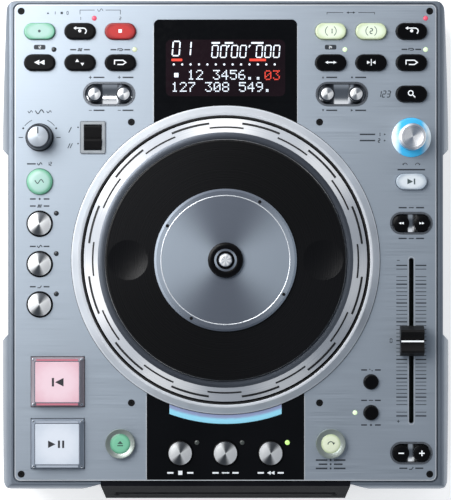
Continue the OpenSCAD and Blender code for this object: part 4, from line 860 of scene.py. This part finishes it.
    def paddle_marks(self, marks):
        """One and two strokes for the paddle's positions, with a dot each."""
        x, y, _ = middle("effects_paddle")
        for sign, size, width, rear in (("slash", 1.9, 0.5, 4.2), ("slashes", 1.7, 0.45, -4.6)):
            marks.sign(sign, x - 12.6, y + rear, size, width)
        for rear in (5.6, -3.4):
            marks.sign("dot", x - 8.2, y + rear, 0.9)

    def right_marks(self, marks):
        """Bracket over the loop buttons, number beside the search button, rows before the mode button."""
        first_x, y, _ = middle("loop_1_button")
        second_x = middle("loop_2_button")[0]
        rail = y + 10.4
        for x, side in ((first_x, -1), (second_x, 1)):
            end = x + side * 2
            marks.stroke([(end, y + 9.4), (end, rail), (x - side * 7, rail)], 0.3)
        marks.sign("swap", (first_x + second_x) / 2, rail, 2.0, 0.35)
        x, y, _ = middle("file_search_button")
        marks.number("123", x - 15.4, y, 3.4, slant=0.2, width=0.5)
        x, y, _ = middle("platter_mode_button")
        for level, far in ((y - 9.2, 8.2), (y - 11.5, 6.6), (y - 13.8, 8.2)):
            marks.rules(x, level, 1.8, far, 0.85)
            marks.sign("dot", x, level, 1.1)

    def fader_scale(self, marks):
        """Ticks at both sides of the fader's slot, bolder at each fifth."""
        x, zero, _ = middle("pitch_fader")
        ticks = 20
        step = 83.2 / (2 * ticks)
        for i in range(-ticks, ticks + 1):
            if abs(i) != ticks - 2:
                marks.rules(x, zero + i * step, 2.3, 8.3, 0.36 if i % 5 else 0.7)
        marks.number("0", x - 11.2, zero, 2.2, width=0.4)
        for sign, level in (("minus", 44.4), ("plus", -44.6)):
            marks.sign(sign, x - 7.2, zero + level, 1.0)


class DISCPLAYER_OT_display(bpy.types.Operator):
    """Light the digits, the bars and the dot rows of the display"""

    bl_idname = "disc_player.display"
    bl_label = "Display"

    # Places on the column, in millimetres from the player's middle
    rear_y, front_y = 122.0, PANEL_HIGH[1] - 53.6  # ends of the tube's window
    margin = 6.0
    row_y = 114.4  # middle of the tall digits
    slant = 0.08
    times = (("00", -3.7), ("00", 7.1), ("000", 23.2))
    bars_over = ((-5.4, 4.6), (1.9, 4.6), (17.6, 6.8))  # middle and width
    bars_under = ((-26.9, 6.0), (17.8, 9.2))
    apostrophes = (1.4, 13.0)
    dots_y, dot_count, first_dot, dot_gap = 105.3, 13, -28.6, 4.65
    small_rows = (("12 3456..", -20.6, 101.9), ("127 308 549.", -29.6, 95.2))
    pitch = 0.78  # of the dots in the small rows

    def execute(self, context):
        height = self.rear_y - self.front_y - self.margin
        window = rounded_box(0, (self.rear_y + self.front_y) / 2, 66.0, height, 3.0)
        bm = bmesh.new()
        plate(bm, window, COLUMN_Z - 0.02, COLUMN_Z + 0.03)
        make_piece("display_window", bm, finish("smoked_float_glass"), "case")
        digits = Marks(COLUMN_Z + 0.04)
        row = self.row_y
        digits.number("01", -24.5, row - 0.3, 7.9, slant=self.slant, width=0.75, pitch=1.62)
        for text, x in self.times:
            digits.number(text, x, row - 1.9, 6.6, slant=self.slant, width=0.62, pitch=1.5)
        for x, width in self.bars_over:
            digits.stroke([(x - width / 2, row + 2.8), (x + width / 2, row + 2.8)], 0.95)
        for x in self.apostrophes:
            digits.fill([(x, row + 1.6), (x + 1.1, row + 1.6), (x + 0.2, row + 0.2), (x - 0.3, row + 0.2)])
        for i in range(self.dot_count):
            digits.fill(circle(self.first_dot + self.dot_gap * i, self.dots_y, 0.6, 12))
        digits.fill(rounded_box(-27.2, 99.4, 2.4, 2.4, 0.3))
        for text, left, top in self.small_rows:
            digits.dot_text(text, left, top, self.pitch)
        # Phosphor printed in a vacuum tube: it glows evenly, a little blue
        phosphor = ink("printed_white_phosphor", setting("digits"), 0.6)
        digits.piece("display_digits", phosphor, "case")
        bars = Marks(COLUMN_Z + 0.04)
        for x, width in self.bars_under:
            bars.fill(rounded_box(x, 107.8, width, 1.4, 0.4))
        bars.dot_text("03", 21.9, 101.7, self.pitch)
        # The same tube's red phosphor: weaker light
        bars.piece("display_bars", ink("printed_red_phosphor", rgb("#e2402c"), 0.4), "case")
        return {"FINISHED"}


class DISCPLAYER_OT_platter(bpy.types.Operator):
    """Build the platter's bands, the slip sheet, the scratch disc and the hub"""

    bl_idname = "disc_player.platter"
    bl_label = "Platter"

    band_width = 7.8  # sloping band between the deck and the rim
    band_low_z = 89.4
    dash_count = 12
    dash_steps = 8
    # Rows of dashes: how far inside the rim, width, first angle, length in degrees
    dash_rows = ((2.4, 1.15, 6.8, 16.2), (5.0, 0.9, 22.2, 14.7))
    hub_screw_angles = (59.5, 149.5, 239.5, 329.5)

    def execute(self, context):
        x, y = PLATTER_X, PLATTER_Y
        # Aluminium, turned and polished: near white, with soft streaks all the way round and seven highlight fans
        # painted into its colour
        paint(spun("polished_aluminium_rim", "#c6cad0", "#f6f7f8", (0.18, 0.26), x, y, pitch=0.6, depth=0.0006,
                   fans=7, ring_share=0.9, start=1.4, Metallic=0.3), "platter")
        paint(finish("sprayed_silver_lacquer"), "platter_ring")
        # Vinyl, pressed with fine grooves: black, with a thin light along them painted into its colour, and two
        # painted highlight fans
        paint(spun("pressed_vinyl", "#070708", "#0c0c0e", (0.26, 0.34), x, y, pitch=0.5, depth=0.004, fans=2,
                   **{"Specular IOR Level": 0.25}), "scratch_disc")
        # Aluminium, spun: wide soft fans of highlight painted into the colour of its turned face
        paint(spun("spun_aluminium_hub", "#747b87", "#b9c4d0", (0.36, 0.42), x, y, pitch=0.4, depth=0.0012,
                   fans=2, ring_share=0.1, start=0.1, Metallic=0.9), "hub_plate")
        self.strobe_band(x, y)
        self.rings(x, y)
        self.hub_details(x, y)
        return {"FINISHED"}

    def strobe_band(self, x, y):
        """Black dashes, in two staggered rows on the sloping band."""
        slope = (DECK_Z - self.band_low_z) / self.band_width
        bm = bmesh.new()
        for i in range(self.dash_count):
            for inset, width, first, turn in self.dash_rows:
                start = 360 / self.dash_count * i + first
                edges = []
                for reach in (inset + width / 2, inset - width / 2):
                    z = self.band_low_z + reach * slope
                    bend = circle(x, y, RIM_R - reach, self.dash_steps, start, turn)
                    edges.append([(px, py, z) for px, py in bend])
                inner, outer = edges
                for k in range(self.dash_steps):
                    corners = (inner[k], inner[k + 1], outer[k + 1], outer[k])
                    rings = [[bm.verts.new((px, py, pz + lift)) for px, py, pz in corners]
                             for lift in (-0.1, 0.12)]
                    for ring in rings:
                        bm.faces.new(ring)
                    skin(bm, rings)
        # Pad-printed black: matt against the polished band
        make_piece("strobe_marks", bm, ink("black_pad_print", rgb("#101114")), "platter")

    def rings(self, x, y):
        """Face of the fixed ring, a black ring painted as the shade in the gap inside it, a dark line painted as
        its contact shadow, and the platter's deck edge and slip sheet.
        """
        top, foot = RING_TOP_Z, PANEL_Z
        silver, shade_rubber = finish("sprayed_silver_lacquer"), finish("moulded_rubber")
        # Aluminium, turned and left satin: a grey edge that stays darker than the band, with two faint highlight
        # fans painted into its colour
        satin = spun("turned_satin_aluminium", "#4f545d", "#6d737c", (0.34, 0.44), x, y, pitch=0.6, depth=0.001,
                     fans=2, Metallic=0.8)
        pieces = (
            ("ring_face", silver, "case", "ring_silver", RING_STEPS,
             [(79.8, top - 0.4), (79.8, top - 0.1), (80.2, top), (81.3, top), (RING_R - 0.7, foot + 1.32),
              (RING_R - 0.9, foot + 1.2)]),
            # Black ring that fills the gap inside the fixed ring: painted shade for the gap
            ("ring_gasket", shade_rubber, "case", "foot_rubber", RING_STEPS,
             [(78.7, top - 2.4), (80.3, top - 2.4), (80.3, top - 0.5), (79.6, top - 0.3), (78.9, top - 0.5)]),
            # Thin dark line round the ring's foot: a painted contact shadow on the panel
            ("ring_seal", shade_rubber, "case", "foot_rubber", RING_STEPS,
             [(RING_R - 0.5, foot - 0.1), (RING_R + 0.3, foot - 0.1), (RING_R + 0.3, foot + 0.1),
              (RING_R + 0.1, foot + 0.2), (RING_R - 0.5, foot + 0.2)]),
            ("deck_edge", satin, "platter", "platter_silver", ROUND_STEPS,
             [(DISC_R + 0.4, DECK_Z - 0.1), (RIM_R - 8.0, DECK_Z - 0.1), (RIM_R - 7.9, DECK_Z + 0.12),
              (RIM_R - 8.5, DECK_Z + 0.3), (DISC_R + 0.9, DECK_Z + 0.3), (DISC_R + 0.4, DECK_Z + 0.1)]),
            ("slip_sheet", finish("rolled_polyester_film"), "platter", "platter_silver", ROUND_STEPS,
             [(3.7, DECK_Z + 0.06), (DISC_R - 0.6, DECK_Z + 0.06), (DISC_R - 0.4, DECK_Z + 0.22),
              (DISC_R - 0.6, DECK_Z + 0.38), (3.7, DECK_Z + 0.38)]),
        )
        for name, material, body, slot, steps, profile in pieces:
            turned_piece(name, profile, x, y, material, body, True, steps)

    def hub_details(self, x, y):
        """Bright bead near the hub's edge, its four tiny screws and the black cap round the spindle."""
        z = box_mm("hub_plate")[1][2] - 3.0
        bead = [(35.0, z - 0.1), (35.0, z + 0.05), (35.25, z + 0.14), (35.5, z + 0.05), (35.5, z - 0.1)]
        turned_piece("hub_bead", bead, x, y, finish("bright_anodised_aluminium"), "scratch_disc",
                     True, ROUND_STEPS)
        screw = [(0, z - 0.2), (0.95, z - 0.2), (0.95, z + 0.12), (0.7, z + 0.3), (0.35, z + 0.3), (0.3, z + 0.05),
                 (0, z + 0.05)]
        bm = bmesh.new()
        for angle in self.hub_screw_angles:
            px, py = at_angle(x, y, 36.9, angle)
            lathe(bm, screw, px, py, steps=16)
        make_piece("hub_screws", bm, finish("black_oxide_steel"), "scratch_disc")
        bore, edge = 3.65, 9.6
        cap = [(bore, z), (edge + 0.12, z), (edge + 0.1, z + 2.2), (edge - 0.25, z + 2.75), (edge - 1.1, z + 3.12),
               (6.4, z + 3.12), (5.9, z + 2.9), (3.9, z + 3.12), (bore, z + 3.05)]
        turned_piece("spindle_cap", cap, x, y, finish("moulded_smooth_abs"), "scratch_disc", True)


class DISCPLAYER_OT_lights(bpy.types.Operator):
    """Build the light guides: the small lamps, the halo and the arc"""

    bl_idname = "disc_player.lights"
    bl_label = "Light guides"

    # Where a lamp stands from the middle of its button: beside an oval one, and beside a round one
    beside_oval = (7.9, 7.3)
    beside_round = (9.2, 5.8)
    # Colour, glow and slot of each kind of lamp
    lamp_looks = {"dark": ("#2b2f33", 0.0, "black_abs"), "dim": ("#4a4f4c", 0.0, "black_abs"),
                  "red": ("#e0566e", 0.35, "lit_red"), "yellow": ("#e3ecc4", 0.2, "lit_pale"),
                  "green": ("#dcf2c8", 0.5, "lit_pale"), "bright_green": ("#b4e57f", 0.8, "lit_green")}
    lamp_places = (("loop_a_button", beside_oval, "red"), ("loop_b_button", beside_oval, "red"),
                   ("rev_button", beside_oval, "dark"), ("exit_left_button", beside_oval, "yellow"),
                   ("flip_button", beside_oval, "green"), ("exit_right_button", beside_oval, "green"),
                   ("echo_button", beside_round, "dark"), ("flanger_button", beside_round, "dark"),
                   ("filter_button", beside_round, "dark"), ("brake_button", beside_round, "dim"),
                   ("dump_button", beside_round, "dim"), ("reverse_button", beside_round, "bright_green"),
                   ("pitch_range_button", (-8.8, 0.0), "green"))

    def execute(self, context):
        x, y, _ = middle("parameter_knob")
        bore, halo_r = 3.1, 10.9
        halo = [(bore, PANEL_Z - 1.9), (halo_r, PANEL_Z - 1.9), (halo_r, PANEL_Z + 0.3),
                (halo_r - 0.5, PANEL_Z + 0.7), (halo_r - 1.6, PANEL_Z + 0.85), (bore, PANEL_Z + 0.6)]
        # The halo's rim is lit from one side, so its colour runs out along one way only
        glow = milky("milky_acrylic_halo", setting("cyan"), rgb("#eefaff"), x, y, halo_r, 50 * halo_r, 0.15,
                     (0.45, 0.95))
        turned_piece("halo_light", halo, x, y, glow, "case", True, stands_for=("light_guides",))
        self.arc()
        self.lamps()
        return {"FINISHED"}

    def arc(self):
        """Lit strip in front of the platter, with straight ends."""
        inner, outer, half, steps = 85.6, 90.6, 31.0, 32  # both radii, half of its width
        bm = bmesh.new()
        rows = []
        for radius, z in ((inner, COLUMN_Z - 1.9), (inner, COLUMN_Z + 0.15), (inner + 0.4, COLUMN_Z + 0.3),
                          (outer - 0.5, COLUMN_Z + 0.3), (outer, COLUMN_Z + 0.1), (outer, COLUMN_Z - 1.9)):
            across = [-half + 2 * half * i / steps for i in range(steps + 1)]
            rows.append([bm.verts.new((PLATTER_X + px, PLATTER_Y - math.sqrt(radius ** 2 - px ** 2), z))
                         for px in across])
        for low, high in zip(rows, rows[1:] + rows[:1]):
            for k in range(steps):
                bm.faces.new((low[k], low[k + 1], high[k + 1], high[k]))
        for end in (0, steps):
            bm.faces.new([row[end] for row in rows])
        glow = milky("milky_acrylic_arc", rgb("#8590b2"), rgb("#8ccce2"), PLATTER_X, PLATTER_Y, outer, outer, 0.25,
                     (0.958, 0.978))
        make_piece("platter_light", bm, glow, "case")

    def lamps(self):
        """Small domed lenses beside the buttons, one piece for each look."""
        made = {}
        for node, (dx, dy), look in self.lamp_places:
            x, y, _ = middle(node)
            z = COLUMN_Z if node in COLUMN_METAL_BUTTONS else PANEL_Z
            dome = [(0, z - 1.5), (1.3, z - 1.5), (1.3, z + 0.12), (1.1, z + 0.32), (0.6, z + 0.48), (0, z + 0.54)]
            lathe(made.setdefault(look, bmesh.new()), dome, x + dx, y + dy, steps=24)
        for look, bm in made.items():
            tone, glow, slot = self.lamp_looks[look]
            # Epoxy, cast round the diode: glossy and even in colour
            lens = ink("cast_epoxy_lens_" + look, rgb(tone), glow, 0.2)
            make_piece("lamp_lenses_" + look, bm, lens, "case")


class DISCPLAYER_OT_oval_buttons(bpy.types.Operator):
    """Finish the oval buttons, lit or black, and print their signs"""

    bl_idname = "disc_player.oval_buttons"
    bl_label = "Oval buttons"

    signs = {"loop_a_button": "loop", "loop_b_button": "loop", "rev_button": "back", "pitch_key_button": "up_down",
             "exit_left_button": "loop_out", "flip_button": "swap", "trim_button": "trim",
             "exit_right_button": "loop_out", "file_search_button": "search", "next_track_button": "next",
             "stop_button": "stop", "sample_button": "dot"}
    numbers = {"loop_1_button": "1", "loop_2_button": "2"}
    small_signs = ("dot", "stop")

    def execute(self, context):
        loop = (setting("pale"), "#cfdcb4", 0.05)
        # Lit caps: colour, colour of the rim painted darker as shade, glow
        lit_caps = {"sample_button": (setting("mint"), "#79bd9d", 0.03), "loop_1_button": loop,
                    "loop_2_button": loop, "stop_button": (setting("red"), "#8f1a1c", 0.08),
                    "next_track_button": (rgb("#dfe7ec"), "#a9b6c2", 0.04)}
        # Pad-printed ink: matt, on pale caps dark and on black ones white with the light behind it
        dark_ink = ink("dark_cap_print", rgb("#4b5a5c"))
        white_ink = ink("white_cap_print", setting("white_ink"), glow=0.3)
        for node in OVAL_BUTTONS:
            x, y, top = middle(node)
            if node in lit_caps:
                core, rim, glow = lit_caps[node]
                paint(milky("milky_acrylic_cap_" + node, core, rgb(rim), x, y, 8.9, 4.9, glow), node)
            else:
                paint(finish("moulded_smooth_abs"), node)
            marks = Marks(top)
            if node in self.signs:
                sign = self.signs[node]
                marks.sign(sign, x, y, 1.6 if sign in self.small_signs else 2.6, 0.6)
            else:
                marks.number(self.numbers[node], x, y, 2.8, width=0.5)
                for start in (125, 305):
                    marks.stroke(circle(x, y, 3.0, 8, start, 110), 0.35)
            if node in lit_caps and node != "stop_button":
                marks.piece("sign_" + node, dark_ink, BODY_OF[node])
            else:
                marks.piece("sign_" + node, white_ink, BODY_OF[node])
        return {"FINISHED"}


class DISCPLAYER_OT_round_buttons(bpy.types.Operator):
    """Build the spun faces of the round buttons, the lit round caps and the keys in their wells"""

    bl_idname = "disc_player.round_buttons"
    bl_label = "Round buttons and keys"

    black_signs = (("search_back_key", "back", 1.25), ("search_forward_key", "forward", 1.25),
                   ("bend_down_key", "minus", 1.9), ("bend_up_key", "plus", 1.9))

    def execute(self, context):
        for node in LEFT_METAL_BUTTONS + COLUMN_METAL_BUTTONS:
            self.metal_face(node)
        self.lit_face("tap_button", 6.2, setting("mint"), "#79bd9d", 0.03, "lit_mint", "wave")
        self.lit_face("eject_button", 5.6, rgb("#7bc19f"), "#3f7a60", 0.04, "lit_green", "eject")
        self.lit_face("platter_mode_button", 5.3, rgb("#e0e8cc"), "#a6b888", 0.06, "lit_pale", "turn_right")
        paint(finish("moulded_smooth_abs"), "key_adjust_button", "pitch_range_button", *BLACK_KEYS)
        for node in METAL_KEYS:
            self.key_face(node)
        paint(finish("satin_nickel_plate"), "key_wells")
        # Pad-printed white, with the light behind it
        white_ink = ink("white_key_print", setting("white_ink"), glow=0.35)
        for node, sign, size in self.black_signs:
            x, y, top = middle(node)
            marks = Marks(top, 0.12, 0.06)
            marks.sign(sign, x, y, size)
            marks.piece("sign_" + node, white_ink, BODY_OF[node])
        self.well_floors()
        return {"FINISHED"}

    def metal_face(self, node):
        """Crowned face with a fine turned step at its rim, in a black button."""
        paint(finish("moulded_smooth_abs"), node)
        x, y, top = middle(node)
        face, crown = 6.4, 34.0
        profile = [(0, top - 1.4), (face + 0.05, top - 1.4), (face + 0.05, top - 0.72), (face - 0.15, top - 0.5)]
        for radius in (6.0, 5.0, 4.0, 3.0, 2.0, 1.0, 0.0):
            profile.append((radius, top + 0.05 - crown + math.sqrt(crown ** 2 - radius ** 2)))
        # Aluminium, spun: bright highlight fans between dark ones, both painted into its colour
        metal = spun("spun_aluminium_" + node, "#4d5156", "#fbfcfc", (0.3, 0.38), x, y, pitch=0.4, depth=0.001,
                     fans=2, ring_share=0.3, start=0.5, reach=0.1, Metallic=0.7)
        turned_piece("face_" + node, profile, x, y, metal, BODY_OF[node])

    def key_face(self, node):
        """Domed metal disc in the top of a small key."""
        paint(finish("sprayed_gunmetal_lacquer"), node)
        x, y, top = middle(node)
        radius = half_width(node)
        dome = [(0, top - 1.6), (radius - 0.75, top - 1.6), (radius - 0.75, top - 0.15),
                (radius - 1.0, top + 0.05), (radius * 0.5, top + 0.2), (0, top + 0.25)]
        # Aluminium, spun: paler highlight fans, painted into its colour, as its dome spreads the light
        metal = spun("spun_aluminium_" + node, "#83888f", "#fbfcfc", (0.32, 0.4), x, y, pitch=0.4, depth=0.0005,
                     fans=2, ring_share=0.3, start=0.9, reach=0.3, Metallic=0.55)
        turned_piece("face_" + node, dome, x, y, metal, BODY_OF[node], steps=48)

    def lit_face(self, node, radius, core, rim, glow, slot, sign):
        """Lit disc in a lit cap, or in a dished metal ring."""
        x, y, top = middle(node)
        if node == "tap_button":
            # Lit ring, its colour painted darker towards the rim as shade
            paint(milky("milky_acrylic_ring_" + node, rgb("#8fcfb2"), rgb("#5fa685"), x, y, 8.0, 8.0, 0.1), node)
        else:
            chrome = finish("satin_chrome_plate")
            paint(chrome, node)
            outer = half_width(node) + 0.05
            ring = [(radius, top - 0.5), (radius, top + 0.05), (outer - 0.55, top + 0.75),
                    (outer - 0.25, top + 0.75), (outer, top + 0.4), (outer, top - 0.5)]
            turned_piece("ring_" + node, ring, x, y, chrome, BODY_OF[node], True)
        lens = [(0, top - 0.3), (radius, top - 0.3), (radius, top + 0.02), (radius - 0.3, top + 0.16),
                (radius * 0.5, top + 0.24), (0, top + 0.26)]
        # Lit disc, its colour painted darker towards the rim as shade, where less of the light from below comes
        # through
        light = milky("milky_acrylic_lens_" + node, core, rgb(rim), x, y, radius, radius, glow, (0.7, 1.1))
        turned_piece("lens_" + node, lens, x, y, light, BODY_OF[node])
        # Pad-printed sign: dark and matt
        marks = Marks(top + 0.25)
        marks.sign(sign, x, y, 2.0, 0.5)
        marks.piece("sign_" + node, ink("dark_print_" + node, rgb("#3c5650")), BODY_OF[node])

    def well_floors(self):
        """Polished trough under the keys of each well, which rises towards both of its long sides."""
        base, rise, steps = PANEL_Z - 3.9, 1.6, 12
        bm = bmesh.new()
        for first, second, width, length in METAL_WELLS + BLACK_WELLS:
            x, y = (middle(first)[0] + middle(second)[0]) / 2, middle(first)[1]
            rows = []
            for i in range(1, steps):
                v = -width / 2 * math.cos(math.pi * i / steps)
                half = (length - width) / 2 + math.sqrt((width / 2) ** 2 - v * v)
                top = base + rise * (2 * v / width) ** 2
                rows.append([bm.verts.new((x + side * half, y + v, z))
                             for side, z in ((-1, top), (1, top), (1, base - 0.05), (-1, base - 0.05))])
            skin(bm, rows)
            bm.faces.new(rows[0])
            bm.faces.new(rows[-1][::-1])
        make_piece("well_floors", bm, finish("polished_zinc_casting"), "case")


class DISCPLAYER_OT_big_buttons(bpy.types.Operator):
    """Build the lit tops, the leaked light and the studs of the cue and play buttons"""

    bl_idname = "disc_player.big_buttons"
    bl_label = "Cue and play"

    width, length = 24.2, 22.3  # of the lit top
    stud_across, stud_along = 13.3, 12.4

    def execute(self, context):
        # Lit top, its rim painted darker as shade, bevel from dark to light, painted leaked light, slot of the lit
        # parts, and the sign
        self.button("cue_button", setting("pink"), "#e2b6c1", ("#8f868c", "#9f969c"), "#c77484", "lit_pink",
                    "previous", 0.0, 3.9)
        self.button("play_button", rgb("#dde3ec"), "#c6cfda", ("#858e9a", "#949da9"), "#aab3bf", "pale_grey",
                    "play_pause", -0.5, 3.3)
        return {"FINISHED"}

    def button(self, node, core, rim, bevel, leak, slot, sign, across, size):
        """Lit top in a bevelled frame, with the light that leaks out beside it."""
        width, length, body = self.width, self.length, BODY_OF[node]
        x, y, top = middle(node)
        # Tinted acrylic, moulded: a glossy bevel, darker than the lit top
        paint(moulded("moulded_tinted_acrylic_" + node, *bevel, (0.14, 0.2), 0.8, 0.002, IOR=1.49), node)
        outline = rounded_box(x, y, width, length, 0.7)
        bm = bmesh.new()
        loft(bm, [(outline, top - 0.2), (outline, top + 0.03),
                  (rounded_box(x, y, width - 0.5, length - 0.5, 0.5), top + 0.22)])
        light = milky("milky_acrylic_lens_" + node, core, rgb(rim), x, y, width / 2, length / 2, 0.03, (0.5, 1.5))
        make_piece("lens_" + node, bm, light, body)
        # Painted shade in the gap between the lens and its bevel, and tinted strips of painted light where the
        # lamp's light leaks out along two sides
        gap = Marks(top, 0.12, 0.08)
        edge = rounded_box(x, y, width + 0.5, length + 0.5, 0.5)
        gap.stroke(edge + edge[:1], 0.5)
        gap.piece("gap_" + node, ink("shaded_abs_gap_" + node, rgb("#68707c")), body)
        leaks = Marks(top, 0.12, 0.12)
        for side in (-1, 1):
            v = y + side * (length / 2 + 1.05)
            leaks.stroke([(x - width / 2 + 0.6, v), (x + width / 2 - 0.6, v)], 1.1)
        leaks.piece("leak_" + node, ink("tinted_acrylic_flange_" + node, rgb(leak)), body)
        # Pad-printed sign: dark and matt
        marks = Marks(top + 0.22)
        marks.sign(sign, x + across, y, size)
        marks.piece("sign_" + node, ink("dark_print_" + node, rgb("#2a2a30")), body)
        # Small bright studs at the corners of the bevel
        stud = [(0, top - 3.4), (0.75, top - 3.2), (0.75, top - 1.9), (0.45, top - 1.5), (0, top - 1.4)]
        bm = bmesh.new()
        for sx in (-1, 1):
            for sy in (-1, 1):
                lathe(bm, stud, x + sx * self.stud_across, y + sy * self.stud_along, steps=16)
        make_piece("studs_" + node, bm, finish("polished_chrome_plate"), body)


class DISCPLAYER_OT_controls(bpy.types.Operator):
    """Finish the two knobs, the paddle and the fader"""

    bl_idname = "disc_player.controls"
    bl_label = "Knobs, paddle and fader"

    def execute(self, context):
        self.effects_knob("effects_knob", BODY_OF["effects_knob"])
        x, y, _ = middle("parameter_knob")
        # Chrome plate on a dished, turned knob: bright, with soft highlight fans painted into its colour
        paint(spun("turned_chrome_plate", "#9aa2ae", "#fbfcfe", (0.26, 0.34), x, y, pitch=0.4, depth=0.0005,
                   fans=2, ring_share=0.3, start=0.9, reach=0.3, Metallic=0.6), "parameter_knob")
        paint(finish("moulded_satin_abs"), "effects_paddle", "pitch_fader")
        self.fader(BODY_OF["pitch_fader"])
        self.paddle_frame()
        return {"FINISHED"}

    def effects_knob(self, node, body):
        """Metal disc and pointer in the top of the fluted knob."""
        paint(finish("sprayed_gunmetal_lacquer"), node)
        x, y, top = middle(node)
        radius = half_width(node) - 2.2
        disc = [(0, top - 0.4), (radius, top - 0.4), (radius, top + 0.02), (radius - 0.3, top + 0.14),
                (0, top + 0.2)]
        # Aluminium, turned: satin and pale, with two faint highlight fans painted into its colour
        metal = spun("turned_aluminium_disc", "#a9b1ba", "#bfc6ce", (0.4, 0.48), x, y, pitch=0.4, depth=0.001,
                     fans=2, Metallic=0.6)
        turned_piece("effects_knob_top", disc, x, y, metal, body)
        # Pad-printed line: dark and matt
        pointer = Marks(top + 0.18)
        pointer.stroke([(x, y + 1.6), (x, y + 5.2)], 0.7)
        pointer.piece("effects_knob_pointer", ink("pointer_print", rgb("#2e3338")), body)

    def fader(self, body):
        """White line across the fader's cap, and the grip ribs that step down from it."""
        x, y, top = middle("pitch_fader")
        # Pad-printed line: white, with a painted glow that keeps it bright enough to read on the black cap
        marks = Marks(top - 1.2, proud=0.08)
        marks.stroke([(x - 6.2, y), (x + 6.2, y)], 0.9)
        marks.piece("fader_line", ink("fader_line_print", rgb("#eef1f4"), 0.3), body)
        bm = bmesh.new()
        for side in (-1, 1):
            for k in range(4):
                v, z = y + side * (3.0 + 0.62 * k), top - 1.35 + 0.33 * k
                loft(bm, [(rounded_box(x, v, 11.6, 0.3, 0.1, 2), z - 0.2),
                          (rounded_box(x, v, 11.4, 0.2, 0.08, 2), z + 0.12)])
        make_piece("fader_grip_ribs", bm, finish("moulded_satin_abs"), body)

    def paddle_frame(self):
        """Sheet metal frame round the paddle."""
        x, y, _ = middle("effects_paddle")
        outer = rounded_box(x, y, 13.6, 17.6, 0.9)
        inner = rounded_box(x, y, 10.2, 14.4, 0.5)
        shoulder = rounded_box(x, y, 13.2, 17.2, 0.7)
        bm = bmesh.new()
        skin(bm, [[bm.verts.new((px, py, PANEL_Z + lift)) for px, py in outline]
                  for outline, lift in ((outer, 0.1), (outer, 0.75), (shoulder, 0.9), (inner, 0.9), (inner, 0.1))],
             around=True)
        make_piece("paddle_frame", bm, finish("zinc_plated_steel"), "case")


class DISCPLAYER_OT_rear(bpy.types.Operator):
    """Finish the sockets and the power button, and build the collars and rings of the sockets"""

    bl_idname = "disc_player.rear"
    bl_label = "Rear"

    phono_across = (4, 19, 34)
    jacks_across = (50, 62, 74)
    shell_overhang, bay_depth = 2.2, 12.5
    # Turned outlines: (radius, reach out of the bay's floor)
    phono_collar = ((4.25, 1.8), (4.37, 2.2), (4.37, 9.1), (3.85, 9.15), (1.9, 9.15), (1.9, 7.0))
    phono_ring = ((5.6, -0.1), (5.6, 1.75), (4.5, 1.75), (4.5, -0.1))
    jack_collar = ((4.0, 0.4), (4.0, 2.1), (3.4, 2.2), (3.1, 3.5), (2.0, 3.55), (2.0, 1.0))

    def execute(self, context):
        paint(finish("baked_enamel_steel"), "rear_connectors")
        paint(finish("moulded_smooth_abs"), "power_button")
        chrome, ivory = finish("polished_chrome_plate"), finish("moulded_ivory_abs")
        phono_collars = [(x, self.phono_collar) for x in self.phono_across]
        jack_collars = [(x, self.jack_collar) for x in self.jacks_across]
        phono_rings = [(x, self.phono_ring) for x in self.phono_across]
        self.turned_rings("socket_collars", phono_collars + jack_collars, chrome, "metal_key")
        self.turned_rings("socket_rings", phono_rings, ivory, "pale_grey")
        return {"FINISHED"}

    def turned_rings(self, name, places, material, slot, steps=32):
        """Rings turned along Y, on the floor of the connector bay."""
        low, high = box_mm("rear_connectors")
        floor_y = PANEL_HIGH[1] + self.shell_overhang - self.bay_depth
        z = (low[2] + high[2]) / 2
        bm = bmesh.new()
        for x, profile in places:
            skin(bm, [[bm.verts.new((px, floor_y + reach, pz)) for px, pz in circle(x, z, radius, steps)]
                      for radius, reach in profile], around=True)
        make_piece(name, bm, material, "case")


OPERATORS = (DISCPLAYER_OT_stage, DISCPLAYER_OT_case, DISCPLAYER_OT_inside, DISCPLAYER_OT_panels,
             DISCPLAYER_OT_display, DISCPLAYER_OT_platter, DISCPLAYER_OT_lights, DISCPLAYER_OT_oval_buttons,
             DISCPLAYER_OT_round_buttons, DISCPLAYER_OT_big_buttons, DISCPLAYER_OT_controls, DISCPLAYER_OT_rear)


class DISCPLAYER_PT_build(bpy.types.Panel):
    """Lists the steps that dress the player"""

    bl_label = "Disc Player"
    bl_space_type = "VIEW_3D"
    bl_region_type = "UI"
    bl_category = "Disc Player"

    def draw(self, context):
        layout = self.layout
        for name in ("film", "camera_height", "focal_length"):
            layout.prop(context.scene.disc_player_sizes, name)
        for name in ("ink", "white_ink", "mint", "red", "pale", "pink", "cyan", "digits"):
            layout.prop(context.scene.disc_player_colours, name)
        for operator in OPERATORS:
            layout.operator(operator.bl_idname)


CLASSES = (DiscPlayerColours, DiscPlayerSizes, *OPERATORS, DISCPLAYER_PT_build)


def register():
    for cls in CLASSES:
        bpy.utils.register_class(cls)
    bpy.types.Scene.disc_player_colours = bpy.props.PointerProperty(type=DiscPlayerColours)
    bpy.types.Scene.disc_player_sizes = bpy.props.PointerProperty(type=DiscPlayerSizes)


def unregister():
    del bpy.types.Scene.disc_player_sizes
    del bpy.types.Scene.disc_player_colours
    for cls in reversed(CLASSES):
        bpy.utils.unregister_class(cls)


def main():
    register()
    for operator in OPERATORS:
        group, name = operator.bl_idname.split(".")
        getattr(getattr(bpy.ops, group), name)()


if __name__ == "__main__":
    main()
